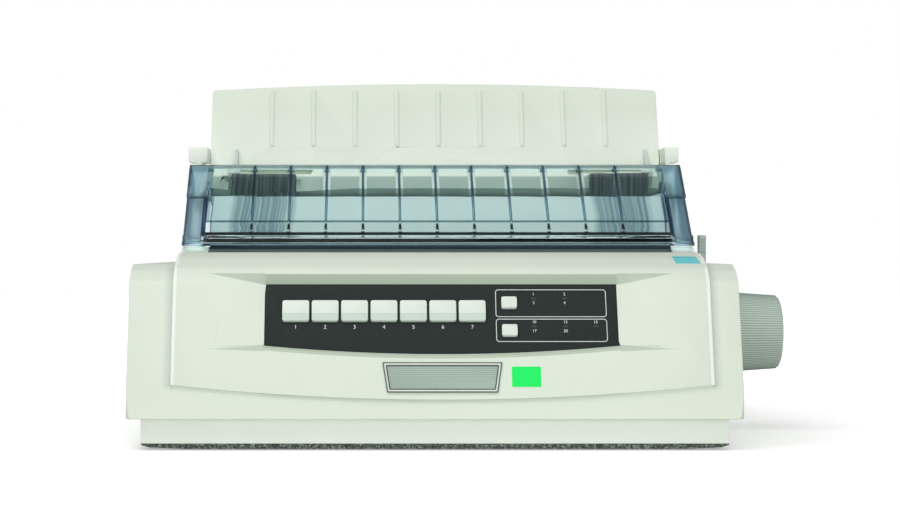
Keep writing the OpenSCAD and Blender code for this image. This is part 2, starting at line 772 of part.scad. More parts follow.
module cover_bracket(inner, side) {
    outer = inner + side * bracket_wall;
    cap_out = outer + side * (cap_reach + hood_wall);
    cap_in = separator_x + side * (separator_half + cap_gap);
    difference() {
        union() {
            along_x(min(inner, outer), max(inner, outer)) bracket_profile();
            block([min(cap_in, cap_out), max(cap_in, cap_out)], [bracket_cap[0], 198],
                [bracket_cap[1], bracket_top]);
        }
        rod(min(inner, outer) - 20, max(inner, outer) + 20, separator_pivot, separator_pin_radius + running);
    }
    // pin that the hood's side wall turns on
    rod(min(inner, outer + side * (hood_wall + 0.5)), max(inner, outer + side * (hood_wall + 0.5)),
        hood_pivot, hood_pin_radius);
}
module cover_brackets() color(shell_color) placed() {
    cover_bracket(bracket_left + bracket_wall, -1);
    cover_bracket(bracket_right - bracket_wall, 1);
}

// ---- Separator ----
module on_separator() {
    translate([separator_x, separator_pivot[0], separator_pivot[1]])
        rotate([-separator_lean, 0, 0]) children();
}
module separator() color(shell_color) placed() on_separator() {
    apron = [apron_left - separator_x, apron_right - separator_x];
    pin_left = bracket_left - 0.2 - separator_x;
    pin_right = bracket_right + 0.2 - separator_x;
    corner = 2.6;
    difference() {
        union() {
            along_y(0, separator_thickness) {
                intersection() {
                    offset(r = corner) offset(delta = -corner)
                        polygon(concat([[-separator_half, panel_start - 20]],
                            [for (p = bow_points(separator_half, separator_bow))
                                [p[0], separator_height + p[1]]],
                            [[separator_half, panel_start - 20]]));
                    translate([-separator_half - 1, panel_start])
                        square([separator_width + 2, separator_height * 2]);
                }
                translate([apron[0], -apron_drop])
                    square([apron[1] - apron[0], panel_start + apron_drop + 1]);
                for (x = [-separator_half, separator_half - arm_width])
                    translate([x, -5]) square([arm_width, panel_start + 6]);
            }
            // bosses and pins at the lower ends of the arms
            for (x = [-separator_half, separator_half - boss_width])
                translate([x, 0, 0]) rotate([0, 90, 0]) cylinder(h = boss_width, r = 5.5);
            translate([pin_left, 0, 0]) rotate([0, 90, 0])
                cylinder(h = -separator_half - pin_left + 1, r = separator_pin_radius);
            translate([separator_half - 1, 0, 0]) rotate([0, 90, 0])
                cylinder(h = pin_right - separator_half + 1, r = separator_pin_radius);
            // stiffening returns down the sides, at the back
            for (x = [-separator_half, separator_half - 2])
                translate([x, separator_thickness - 0.5, panel_start])
                    cube([2, 6, separator_height - panel_start - 5]);
            // embossed ribs
            for (i = [0:separator_ribs - 1]) {
                x = (i - (separator_ribs - 1) / 2) * separator_rib_pitch + 2.5;
                translate([x, rib_sink, rib_low]) cylinder(h = rib_high - rib_low, r = rib_radius);
                for (z = [rib_low, rib_high]) translate([x, rib_sink, z]) sphere(r = rib_radius);
            }
        }
        // slots for the sheet guides
        slot_length = guide_travel + guide_thickness;
        for (x = [left_guide_inset - separator_half, separator_half - right_guide_inset - slot_length])
            translate([x, -1, guide_slot[0]])
                cube([slot_length, separator_thickness + 2, guide_slot[1] - guide_slot[0]]);
        // flat back of the ribs
        translate([-separator_half + 3, separator_thickness, rib_low - 3])
            cube([separator_width - 6, 4, rib_high - rib_low + 6]);
    }
}
// One guide: a blade in front of the separator and a slider through its slot
module sheet_guide(x, side) {
    color([0.86, 0.9, 0.86]) placed() on_separator() {
        blade = [min(x, x + side * guide_thickness), max(x, x + side * guide_thickness)];
        slot_middle = (guide_slot[0] + guide_slot[1]) / 2;
        along_x(blade[0], blade[1]) polygon([[-seat_gap, -1], [-seat_gap, 35.6], [-1.6, 35.6], [-7, 26],
            [-11, 20], [-11, 14], [-3, 6], [-2.4, -1]]);
        translate([blade[0] + 0.3, -seat_gap - 0.5, slot_middle - 1.7])
            cube([guide_thickness - 0.6, separator_thickness + 2 * seat_gap + 1, 3.4]);
        translate([blade[0] - 1, separator_thickness + seat_gap, slot_middle - 4])
            cube([guide_thickness + 2, 1.5, 8]);
        // small wing that lifts the sheet's edge
        along_x(blade[0] + min(0, side * 6), blade[1] + max(0, side * 6))
            polygon([[-11, 20], [-11, 14], [-9.5, 14], [-9.5, 20]]);
    }
}
module sheet_guide_left() {
    sheet_guide(left_guide_inset - separator_half, 1);
}
module sheet_guide_right() {
    sheet_guide(separator_half - right_guide_inset, -1);
}

// ---- Frame of the mechanism ----
module mechanism_frame() color(dark_color) placed() {
    sheet = 1.5;
    difference() {
        block([plate_left, plate_right], [plate_front, plate_back], [floor_top, floor_top + sheet]);
        translate([drive_x, belt_y, floor_top - 1]) cylinder(h = sheet + 2, r = belt_motor_radius + 0.3);
    }
    // post of the belt's idler
    translate([idle_x, belt_y, floor_top + sheet - 0.1]) {
        cylinder(h = belt_z[1] - floor_top + 0.6, r = pulley_bore);
        cylinder(h = belt_z[0] - 1.8 - floor_top - sheet, r = pulley_radius);
    }
    // tabs under the chute
    for (x = [plate_left + 40, plate_right - 40])
        block([x - 8, x + 8], [platen_y - 1, platen_y + 1],
            [floor_top + sheet - 0.1, platen_z - chute_outer]);
}
module side_plate_profile() {
    polygon([[plate_front, floor_top], [plate_back, floor_top], [plate_back, 70], [horn[1] + 6, plate_top],
        [horn[1], plate_top + 8], [horn[1], support_at[1] + 7], [horn[0], support_at[1] + 7],
        [horn[0], plate_top + 8], [horn[0] - 8, plate_top], [plate_front + 12, plate_top],
        [plate_front, plate_top - 30]]);
}
module side_plates() color(steel_color) placed() {
    for (x = [plate_left - plate_thickness, plate_right]) difference() {
        along_x(x, x + plate_thickness) side_plate_profile();
        rod(x - 1, x + plate_thickness + 1, platen_at, bushing_radius + running);
        rod(x - 1, x + plate_thickness + 1, tractor_at, drive_square / 2 + running);
        rod(x - 1, x + plate_thickness + 1, support_at, support_rod_radius);
        rod(x - 1, x + plate_thickness + 1, [rod_y, rod_z], guide_rod_radius);
        rod(x - 1, x + plate_thickness + 1, bail_pivot, bail_pin + running);
        rod(x - 1, x + plate_thickness + 1, feed_at, feed_shaft + running);
    }
}
module platen_bushings() color([0.75, 0.6, 0.3]) placed() {
    for (x = [plate_left - plate_thickness - 1.5, plate_right - 1.5]) difference() {
        rod(x, x + plate_thickness + 3, platen_at, bushing_radius);
        rod(x - 1, x + plate_thickness + 4, platen_at, shaft_radius + running);
    }
}
module guide_rods() color(steel_color) placed() {
    outer_left = plate_left - plate_thickness;
    outer_right = plate_right + plate_thickness;
    rod(outer_left - 2, outer_right + 2, [rod_y, rod_z], guide_rod_radius);
    rod(outer_left - 1, outer_right + 1, support_at, support_rod_radius);
    block([plate_left, plate_right], [rail_y, rail_y + rail_size[0]], [rail_z, rail_z + rail_size[1]]);
}
module paper_guide() color([0.8, 0.86, 0.84]) placed() {
    along_x(plate_left, plate_right) polygon([guide_low, guide_high, guide_high + [guide_wall, 0],
        guide_low + [guide_wall + 0.2, 0]]);
}
module paper_chute() color(dark_color) placed() difference() {
    along_x(plate_left, plate_right) difference() {
        intersection() {
            translate(platen_at) circle(r = chute_outer);
            translate(platen_at) polygon([[0, 0], [-30, -18], [-30, -40], [30, -40], [30, 12]]);
        }
        translate(platen_at) circle(r = chute_inner);
    }
    for (x = feed_places)
        rod(frame_x + x - 7 - feed_width / 2, frame_x + x - 5 + feed_width / 2, feed_at, feed_radius + 0.6);
}
module step_motors() color([0.3, 0.3, 0.32]) placed() {
    face = plate_left - plate_thickness;
    can = 20;
    difference() {
        rod(face - can, face, pinion_at, feed_motor_radius);
        rod(face - can - 1, face - 4, pinion_at, 2 + running);
    }
    difference() {
        translate([drive_x, belt_y, floor_top])
            cylinder(h = belt_z[0] - floor_top - 2.2, r = belt_motor_radius);
        translate([drive_x, belt_y, floor_top + 3]) cylinder(h = belt_z[1], r = pulley_bore + running);
    }
}
module belt_loop(r) {
    hull() {
        translate([drive_x, belt_y]) circle(r = r);
        translate([idle_x, belt_y]) circle(r = r);
    }
}
module timing_belt() color(rubber_color) placed() {
    translate([0, 0, belt_z[0]]) linear_extrude(belt_z[1] - belt_z[0]) difference() {
        belt_loop(pulley_radius + 0.1 + belt_strip);
        belt_loop(pulley_radius + 0.1);
    }
}
module main_board() color([0.16, 0.4, 0.24]) placed() {
    face = board_z + board_thickness;
    // chips: place from the board's left front corner, then width and depth
    chips = [[30, 22, 30, 12], [80, 32, 14, 14], [120, 28, 34, 12], [160, 86, 20, 16], [20, 72, 18, 24]];
    chip_height = 3.5;
    sink_height = 34.5;
    sink_width = 64;
    fin_pitch = 10;
    sink = [board_x[0] + 130, board_y[0] + 52];
    block(board_x, board_y, [board_z, face]);
    for (c = chips) translate([board_x[0] + c[0], board_y[0] + c[1], face - 0.1])
        cube([c[2], c[3], chip_height]);
    // heat sink for the head drivers
    translate([sink[0], sink[1], face - 0.1]) {
        cube([sink_width, 3, sink_height]);
        for (i = [0:sink_width / fin_pitch])
            translate([2 + fin_pitch * i, 2.9, 0]) cube([1.6, 11.1, sink_height]);
    }
    for (x = [50, 72]) translate([board_x[0] + x, board_y[0] + 82, face - 0.1]) cylinder(h = 25, r = 8);
}
module transformer() color([0.35, 0.35, 0.38]) placed() {
    core_width = 64;
    core_depth = 56;
    winding = [56, 40];
    foot_height = 14;
    winding_height = 34;
    translate([16.1 - tray_half, board_y[0] + 10, floor_top]) {
        cube([core_width, core_depth, foot_height]);
        translate([(core_width - winding[0]) / 2, (core_depth - winding[1]) / 2, foot_height - 0.1])
            cube([winding[0], winding[1], winding_height + 0.1]);
        for (z = [20:8:44]) translate([0, 4, z]) cube([core_width, core_depth - 8, 4]);
    }
}

// ---- Rear sockets ----
module power_inlet() color(dark_color) placed() {
    y0 = case_depth - 20;
    y1 = case_depth - 0.3;
    difference() {
        block([inlet_x, inlet_x + inlet_width], [y0, y1], [inlet_z, inlet_z + 24]);
        block([inlet_x + 27, inlet_x + 51], [y1 - 15, y1 + 1], [inlet_z + 4, inlet_z + 20]);
        block([inlet_x + 4, inlet_x + 20], [y1 - 12, y1 + 1], [inlet_z + 2, inlet_z + 22]);
        rod(inlet_x + 2, inlet_x + 22, switch_pivot, 1.2 + running);
    }
    for (p = [[-7, -1.5], [0, 2], [7, -1.5]])
        block([inlet_x + 39 + p[0] - 1, inlet_x + 39 + p[0] + 1], [y1 - 15.1, y1 - 3],
            [inlet_z + 12 + p[1] - 2, inlet_z + 12 + p[1] + 2]);
}
module power_switch() color(rubber_color) placed() {
    along_x(inlet_x + 4.4, inlet_x + 19.6) translate(switch_pivot)
        polygon([[-4, -4], [0, -8.2], [3, -8.2], [4.4, 0], [5.4, 8.2], [0, 8.2], [-4, 4]]);
    rod(inlet_x + 2.2, inlet_x + 21.8, switch_pivot, 1.2);
}
module port_shell(x0, x1, depth, hole) {
    y1 = case_depth - 0.3;
    difference() {
        block([x0, x1], [y1 - depth, y1], [port_z, port_z + 12]);
        block([x0 + hole, x1 - hole], [y1 - 10, y1 + 1], [port_z + 1.6, port_z + 10.4]);
    }
    block([x0 + 2, x1 - 2], [y1 - depth, y1 - depth + 4], [board_z + board_thickness, port_z + 0.1]);
}
module interface_ports() color(steel_color) placed() {
    port_shell(26, 76, port_depth, 4);
    block([34, 68], [case_depth - 10.4, case_depth - 4], [port_z + 5, port_z + 7]);
    port_shell(-2, 12, port_depth, 1.2);
    block([2, 8], [case_depth - 10.4, case_depth - 3], [port_z + 4, port_z + 7.4]);
}
module case_screws() color(steel_color) placed() {
    for (x = [-screw_x, screw_x], y = screw_ys) translate([x, y, 0]) {
        translate([0, 0, rim_bottom - 2]) cylinder(h = 2, r = 2.5);
        translate([0, 0, rim_bottom - 0.1]) cylinder(h = rim_thickness + 13, r = screw_radius);
    }
}

// ---- Platen and gears ----
module platen_roller() color(rubber_color) placed() difference() {
    rod(plate_left + 4, plate_right - 4, platen_at, platen_radius);
    rod(plate_left + 3, plate_right - 3, platen_at, platen_radius - 4);
}
module platen_shaft() color(steel_color) placed() {
    rod(gear_x[0] - 1, half_case + 12, platen_at, shaft_radius);
    for (x = [plate_left + 4, frame_x, plate_right - 14]) rod(x, x + 10, platen_at, platen_radius - 4);
}
module platen_gear() color([0.9, 0.88, 0.8]) placed() difference() {
    along_x(gear_x[0], gear_x[1]) translate(platen_at) gear(platen_teeth, platen_turn);
    rod(gear_x[0] - 1, gear_x[1] + 1, platen_at, shaft_radius);
    for (a = [0:60:300]) rod(gear_x[0] - 1, gear_x[1] + 1, platen_at + 9 * [cos(a), sin(a)], 2.6);
}
module knob_star(r) {
    polygon([for (i = [0:2 * knob_flutes - 1]) let (a = 180 * i / knob_flutes)
        (r - (i % 2) * 0.6) * [cos(a), sin(a)]]);
}
module platen_knob() color(knob_color) placed() {
    inner = half_case + 3.5;
    length = knob_reach - 3.5;
    grip = length - 3;
    end_radius = knob_radius * knob_taper - 0.5;
    translate([inner, platen_y, platen_z]) rotate([0, 90, 0]) difference() {
        union() {
            linear_extrude(grip, scale = knob_taper) knob_star(knob_radius);
            rotate_extrude($fn = 96)
                polygon([[0, grip - 2], [end_radius, grip - 2], [end_radius, grip + 0.3],
                    [end_radius - 0.5, grip + 1.2], [end_radius - 1.7, grip + 1.8],
                    [end_radius / 2, grip + 2.7], [0, length]]);
        }
        translate([0, 0, -1]) cylinder(h = 9.5 + 1, r = shaft_radius);
        translate([0, 0, -1]) difference() {
            cylinder(h = length - 8, r = end_radius - 3);
            translate([0, 0, -1]) cylinder(h = length, r = shaft_radius + 4);
        }
    }
}
module idler_gear() color([0.9, 0.88, 0.8]) placed() {
    difference() {
        along_x(gear_x[0], gear_x[1]) translate(idler_at) gear(idler_teeth, idler_turn);
        rod(gear_x[0] - 1, gear_x[1] + 1, idler_at, 2 + running);
    }
}
module motor_pinion() color([0.9, 0.88, 0.8]) placed() {
    along_x(gear_x[0], gear_x[1]) translate(pinion_at) gear(pinion_teeth, pinion_turn);
    rod(gear_x[0] - 1, plate_left - plate_thickness - 5, pinion_at, 2);
}
module feed_rollers() color(rubber_color) placed() {
    rod(plate_left - plate_thickness + 0.2, plate_right + plate_thickness + 1, feed_at, feed_shaft);
    for (x = feed_places)
        rod(frame_x + x - 6 - feed_width / 2, frame_x + x - 6 + feed_width / 2, feed_at, feed_radius);
}

// ---- Tractors ----
module tractor_shaft() color(steel_color) placed() {
    rod(gear_x[0] - 1, plate_left + 3, tractor_at, drive_square / 2);
    rod(plate_right - 3, plate_right + plate_thickness + 2, tractor_at, drive_square / 2);
    along_x(plate_left + 2, plate_right - 2) translate(tractor_at)
        square(drive_square, center = true);
}
module tractor_gear() color([0.9, 0.88, 0.8]) placed() difference() {
    along_x(gear_x[0], gear_x[1]) translate(tractor_at) gear(tractor_teeth, tractor_turn);
    rod(gear_x[0] - 1, gear_x[1] + 1, tractor_at, drive_square / 2);
}
module belt_stadium(r) {
    hull() {
        translate(tractor_at) circle(r = r);
        translate(support_at) circle(r = r);
    }
}
// One tractor about x, with its outer side towards side
module tractor(x, side) {
    w = tractor_width / 2;
    belt = [x + side * belt_offset - belt_width / 2, x + side * belt_offset + belt_width / 2];
    outer = [min(x + side * w, side > 0 ? belt[1] + 0.5 : belt[0] - 0.5),
        max(x + side * w, side > 0 ? belt[1] + 0.5 : belt[0] - 0.5)];
    inner = [min(x - side * w, side > 0 ? belt[0] - 0.5 : belt[1] + 0.5),
        max(x - side * w, side > 0 ? belt[0] - 0.5 : belt[1] + 0.5)];
    hinge = [x + side * (w + 0.2), tractor_back + 2.1];
    color(dark_color) placed() difference() {
        union() {
            for (part = [outer, inner])
                block(part, [tractor_front, tractor_back], [tractor_low, tractor_high]);
            block([x - w, x + w], [tractor_front, tractor_front + 0.9], [tractor_low, tractor_high]);
            // lugs of the door's hinge
            for (z = [[tractor_low + 5, tractor_low + 9.7], [tractor_high - 21.7, tractor_high - 17]]) {
                block([min(hinge[0], x + side * (w - 3)), max(hinge[0], x + side * (w - 3))],
                    [tractor_back - 1, hinge[1]], z);
                translate([hinge[0], hinge[1], z[0]]) cylinder(h = z[1] - z[0], r = door_barrel);
            }
        }
        rod(x - w - 1, x + w + 1, tractor_at, drive_square * 0.75);
        rod(x - w - 1, x + w + 1, support_at, support_rod_radius + running);
    }
    color(dark_color) placed() {
        for (z = [tractor_low + 8, tractor_high - 23])
            translate([hinge[0], hinge[1], z]) cylinder(h = 3, r = door_pin);
        along_x(belt[0], belt[1]) difference() {
            belt_stadium(belt_outer);
            belt_stadium(belt_outer - belt_thickness);
        }
        translate([x + side * belt_offset, tractor_at[0] + belt_outer - 0.2, tractor_at[1]])
            for (i = [0:4]) translate([0, 0, pin_pitch * (i + 0.05)])
                rotate([-90, 0, 0]) cylinder(h = 2, r1 = 1.9, r2 = 1);
    }
}
module tractor_sprocket(x, side) {
    color([0.85, 0.85, 0.8]) placed() difference() {
        rod(x + side * belt_offset - belt_width / 2, x + side * belt_offset + belt_width / 2,
            tractor_at, sprocket_radius);
        along_x(x - 20, x + 20) translate(tractor_at) square(drive_square + 0.1, center = true);
    }
}
module tractor_door(x, side) {
    w = tractor_width / 2;
    hinge = [x + side * (w + 0.2), tractor_back + 2.1];
    y0 = tractor_back + seat_gap;
    low = tractor_low + 10;
    high = tractor_high - 22;
    slot = x + side * belt_offset;
    color(dark_color) placed() {
        difference() {
            union() {
                block([x - w, x + w], [y0, y0 + door_thickness], [low, high]);
                translate([hinge[0], hinge[1], low]) cylinder(h = high - low, r = door_barrel);
            }
            block([slot - 3.4, slot + 3.4], [y0 - 1, y0 + door_thickness + 1], [low - 1, high + 1]);
            translate([hinge[0], hinge[1], low - 1]) cylinder(h = high - low + 2, r = door_pin + running);
        }
        // bridges over the slot for the pins
        for (z = [low, high - 4]) translate([slot - 4, y0 + door_thickness - 0.3, z]) cube([8, 1.9, 4]);
    }
}

// ---- Carriage ----
module carriage_frame() color(dark_color) placed() {
    x = [carriage_x - carriage_half, carriage_x + carriage_half];
    rail_top = rail_z + rail_size[1];
    hook = [rail_y + rail_size[0] + 0.2, rail_y + rail_size[0] + 2.5];
    belt_line = belt_y + pulley_radius + 0.1;
    difference() {
        union() {
            block(x, [rod_y - block_half, rod_y + block_half], [rod_z - block_half, deck_plate_z]);
            block(x, [rod_y - block_half, hook[1]], [deck_plate_z - 3, deck_plate_z]);
            block(x, hook, [rail_top - 5, deck_plate_z]);
            block(x, [rail_y - 2.5, hook[1]], [rail_top + 0.1, deck_plate_z]);
            block([carriage_x - 8, carriage_x + 8], [rod_y, belt_line + 4], [rod_z - block_half, rod_z - 6]);
            block([carriage_x - 5, carriage_x + 5], [belt_line - 2.5, belt_line + 4],
                [belt_z[0] - 0.5, rod_z - block_half + 1]);
            for (side = [x[0], x[1] - 2])
                block([side, side + 2], [rod_y - block_half, cartridge_back - 9],
                    [deck_plate_z - 1, cartridge_low]);
        }
        rod(x[0] - 1, x[1] + 1, [rod_y, rod_z], guide_rod_radius + running);
        block([carriage_x - 6, carriage_x + 6], [belt_line - 0.15, belt_line + belt_strip + 0.15],
            [belt_z[0] - 1, belt_z[1] + 0.2]);
    }
}
module print_head() color([0.35, 0.36, 0.38]) placed() {
    nose_end = platen_y - platen_radius - head_gap;
    body = [rod_y - 6, platen_y - platen_radius - 12];
    block([carriage_x - head_half, carriage_x + head_half], body, [deck_plate_z, platen_z + 10]);
    translate([carriage_x, body[1] - 1, platen_z]) rotate([-90, 0, 0])
        cylinder(h = nose_end - body[1] + 1, r1 = 9, r2 = 4);
    for (i = [0:6]) translate([carriage_x - head_half - 3, body[0] + 1 + i * 3, deck_plate_z + 4])
        cube([2 * head_half + 6, 1, platen_z + 4 - deck_plate_z]);
}
module ribbon_cartridge() color(dark_color) placed() {
    w = cartridge_width / 2;
    x = carriage_x;
    low = cartridge_low;
    high = cartridge_low + cartridge_height;
    arm_low = platen_z - 6;
    translate([0, 0, low]) linear_extrude(cartridge_height) offset(r = 3) offset(delta = -3)
        polygon([[x - w, cartridge_front], [x + w, cartridge_front], [x + w, cartridge_back - 14],
            [x + w - 12, cartridge_back], [x - w + 12, cartridge_back], [x - w, cartridge_back - 14]]);
    // arms that hold the ribbon across the head's nose
    for (side = [-1, 1])
        block([x + side * 26 - 2.5, x + side * 26 + 2.5], [cartridge_back - 8, cartridge_back - 2],
            [arm_low, low + 1]);
}
module ribbon_knob() color(knob_color) placed() {
    high = cartridge_low + cartridge_height;
    translate([carriage_x + ribbon_knob_x, cartridge_front + 14, high + seat_gap]) {
        cylinder(h = 4.5, r = 7);
        translate([-5.5, -1, 0]) cube([11, 2, 6.5]);
    }
}
module drive_pulley() color([0.8, 0.8, 0.78]) placed() translate([drive_x, belt_y, 0]) {
    pulley(true);
}
module pulley(driven) {
    flange = 1;
    difference() {
        union() {
            translate([0, 0, belt_z[0] - flange])
                cylinder(h = belt_z[1] - belt_z[0] + 2 * flange, r = pulley_radius);
            for (z = [belt_z[0] - flange - 0.15, belt_z[1] + 0.15])
                translate([0, 0, z]) cylinder(h = flange, r = pulley_radius + 2);
        }
        if (!driven) translate([0, 0, belt_z[0] - 2]) cylinder(h = 12, r = pulley_bore + running);
    }
    if (driven) translate([0, 0, floor_top + 4])
        cylinder(h = belt_z[0] - floor_top - 4, r = pulley_bore);
}
module idler_pulley() color([0.8, 0.8, 0.78]) placed() translate([idle_x, belt_y, 0]) {
    pulley(false);
}

// ---- Bail and lever ----
module paper_bail() color(dark_color) placed() {
    for (arm = [[bail_left, bail_left + bail_arm], [bail_right - bail_arm, bail_right]]) {
        along_x(arm[0], arm[1]) {
            hull() {
                translate(bail_pivot) circle(r = 6);
                translate([bail_bar_y[0], bail_bar_z[0]]) square([6, 6]);
            }
            translate([bail_bar_y[0], bail_bar_z[0]])
                square([bail_bar_y[1] - bail_bar_y[0], bail_bar_z[1] - bail_bar_z[0]]);
        }
    }
    along_x(bail_left + bail_arm, bail_right - bail_arm) difference() {
        translate([bail_bar_y[0], bail_bar_z[0]])
            square([bail_bar_y[1] - bail_bar_y[0], bail_bar_z[1] - bail_bar_z[0]]);
        translate([bail_bar_y[0] + 1.6, bail_bar_z[0] - 1]) square([10, bail_bar_z[1] - bail_bar_z[0] - 1]);
    }
    rod(plate_left - plate_thickness - 1, bail_left + 1, bail_pivot, bail_pin);
    rod(bail_right - 1, lever_right - lever_thickness, bail_pivot, bail_pin);
}
module paper_lever() color(knob_color) placed() {
    x0 = lever_right - lever_thickness;
    difference() {
        along_x(x0, lever_right) difference() {
            union() {
                translate(bail_pivot) circle(r = 7);
                polygon([bail_pivot + [-5, 0], bail_pivot + [5, 0], [bail_pivot[0] + 3.5, lever_top - 16],
                    [bail_pivot[0] + 4.5, lever_top - 2], [bail_pivot[0] + 3, lever_top],
                    [bail_pivot[0] - 3, lever_top], [bail_pivot[0] - 4.5, lever_top - 2],
                    [bail_pivot[0] - 3.5, lever_top - 16]]);
            }
            for (z = [lever_top - 15:2:lever_top - 3])
                translate([bail_pivot[0] - 5.4, z]) square([1.6, 0.8]);
        }
    }
}

base_tray();
plinth();
rubber_feet();
main_cover();
front_bezel();
control_panel();
key_board();
indicator_lenses();
nameplate();
cover_brackets();
case_screws();
power_inlet();
interface_ports();
mechanism_frame();
side_plates();
platen_bushings();
guide_rods();
paper_guide();
paper_chute();
step_motors();
timing_belt();
main_board();
transformer();
platen_roller();
platen_shaft();
platen_gear();
platen_knob();
idler_gear();
motor_pinion();
feed_rollers();
tractor_shaft();
tractor_gear();
tractor(tractor_left_x, -1);  // tractor_left
tractor_sprocket(tractor_left_x, -1);  // tractor_left_sprocket
tractor_door(tractor_left_x, -1);  // tractor_left_door
tractor(tractor_right_x, 1);  // tractor_right
tractor_sprocket(tractor_right_x, 1);  // tractor_right_sprocket
tractor_door(tractor_right_x, 1);  // tractor_right_door
hood();
separator();
sheet_guide_left();
sheet_guide_right();
carriage_frame();
print_head();
ribbon_cartridge();
ribbon_knob();
drive_pulley();
idler_pulley();
paper_bail();
paper_lever();
menu_key(1);  // menu_key_1
menu_key(2);  // menu_key_2
menu_key(3);  // menu_key_3
menu_key(4);  // menu_key_4
menu_key(5);  // menu_key_5
menu_key(6);  // menu_key_6
menu_key(7);  // menu_key_7
key_cap([small_key_x, quality_row], small_key_width, small_key_height, 1.2);  // quality_key
key_cap([small_key_x, pitch_row], small_key_width, small_key_height, 1.2);  // pitch_key
power_switch();
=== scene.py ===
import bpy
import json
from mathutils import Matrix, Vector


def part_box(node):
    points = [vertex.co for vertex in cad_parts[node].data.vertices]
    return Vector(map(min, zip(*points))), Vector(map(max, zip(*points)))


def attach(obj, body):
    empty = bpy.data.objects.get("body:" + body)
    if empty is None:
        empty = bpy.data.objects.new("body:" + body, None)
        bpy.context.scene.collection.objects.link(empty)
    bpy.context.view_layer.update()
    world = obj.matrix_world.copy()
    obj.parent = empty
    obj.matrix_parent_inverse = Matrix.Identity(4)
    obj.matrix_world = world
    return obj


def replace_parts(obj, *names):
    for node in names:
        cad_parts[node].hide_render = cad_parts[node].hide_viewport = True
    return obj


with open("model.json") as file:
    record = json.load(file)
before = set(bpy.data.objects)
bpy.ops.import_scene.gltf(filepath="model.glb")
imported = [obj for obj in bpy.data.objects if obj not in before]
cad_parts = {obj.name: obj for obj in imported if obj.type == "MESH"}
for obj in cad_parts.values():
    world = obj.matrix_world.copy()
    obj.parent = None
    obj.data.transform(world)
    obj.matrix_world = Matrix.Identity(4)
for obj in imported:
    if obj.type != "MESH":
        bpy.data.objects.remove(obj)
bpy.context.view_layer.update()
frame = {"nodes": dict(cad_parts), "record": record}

# %% [markdown]
# Sizes are written in millimetres, as on a drawing, and turned to Blender's metres in one place.
# The printer's own landmarks are read from the frame, so a piece follows its neighbour if that changes:
# the case's middle, its front lip, and the plane of the control panel.
# %% Units and landmarks
import json
import math

import bmesh
import bpy
from mathutils import Matrix, Vector
from mathutils.bvhtree import BVHTree

MM = 0.001
case_low, case_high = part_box("main_cover")
case_x = (case_low.x + case_high.x) / 2
case_front = case_low.y


def at(x, y, z):
    """A point from millimetres: x from the case's middle, y behind its front lip, z above the table."""
    return Vector((case_x + x * MM, case_front + y * MM, z * MM))


def middle_x(name):
    """The middle of a node's box, across the machine."""
    low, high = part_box(name)
    return (low.x + high.x) / 2


def linked(name, data):
    """An object on some data, put into the scene."""
    made = bpy.data.objects.new(name, data)
    bpy.context.scene.collection.objects.link(made)
    return made


body_of = {n: b for b, ns in frame["record"]["behaviour"]["bodies"].items() for n in ns}
print("case centre x %.1f mm, front y %.1f mm" % (case_x / MM, case_front / MM))

# %% [markdown]
# The photograph was taken with a long lens, level with the upper case and a little left of it.
# Only the lens shift brings the printer back to the middle, so verticals stay vertical.
# %% Camera
PHOTO_SIZE = (900, 521)
PRINCIPAL_POINT = (365, 250)
camera_data = bpy.data.cameras.new("camera")
camera_data.sensor_width = 36.0
camera_data.lens = 88.5
camera_data.shift_x = (PHOTO_SIZE[0] / 2 - PRINCIPAL_POINT[0]) / PHOTO_SIZE[0]
camera_data.shift_y = (PRINCIPAL_POINT[1] - PHOTO_SIZE[1] / 2) / PHOTO_SIZE[0]
camera_data.clip_end = 20
camera = linked("camera", camera_data)
camera.location = at(-39.7, -1250, 113.8)
camera.rotation_euler = (math.radians(90), 0, 0)
bpy.context.scene.camera = camera
bpy.context.scene.view_settings.view_transform = "Standard"
print("lens", camera_data.lens, "shift", round(camera_data.shift_x, 4), round(camera_data.shift_y, 4))

# %% [markdown]
# A studio product shot: a white sweep, one broad lamp over the front and the world's own soft light.
# Camera rays see the world as plain white, which costs the object no extra light.
# %% World, lamps and floor
WHITE = (1, 1, 1, 1)
VECTOR_MATH = "ShaderNodeVectorMath"


def feed(tree, value, socket):
    """Gives an input a value, as a link if the value is another node's socket."""
    if isinstance(value, bpy.types.NodeSocket):
        tree.links.new(value, socket)
    else:
        socket.default_value = value


def fill(tree, made, **values):
    """Sets a node's properties, or feeds its inputs, by name; an underscore stands for a space."""
    for name, value in values.items():
        if hasattr(made, name):
            setattr(made, name, value)
        else:
            feed(tree, value, made.inputs[name.replace("_", " ")])
    return made


def node(tree, kind, **values):
    return fill(tree, tree.nodes.new(kind), **values)


def maths(tree, operation, *terms, kind="ShaderNodeMath"):
    """The result of a Math or Vector Math node on sockets or plain values."""
    made = node(tree, kind, operation=operation)
    for term, socket in zip(terms, made.inputs):
        feed(tree, term, socket)
    return made.outputs[1 if operation in ("LENGTH", "DOT_PRODUCT") else 0]


def ramped(tree, value, from_low, from_high, to_low, to_high):
    """A value carried from one range to another, and held at its ends."""
    return node(tree, "ShaderNodeMapRange", Value=value, From_Min=from_low, From_Max=from_high, To_Min=to_low,
                To_Max=to_high).outputs[0]


def own_place(tree):
    """The Object coordinates, which stay with a piece when it moves."""
    return node(tree, "ShaderNodeTexCoord").outputs["Object"]


def new_material(name):
    material = bpy.data.materials.new(name)
    material.use_nodes = True
    return material, material.node_tree, material.node_tree.nodes["Principled BSDF"]


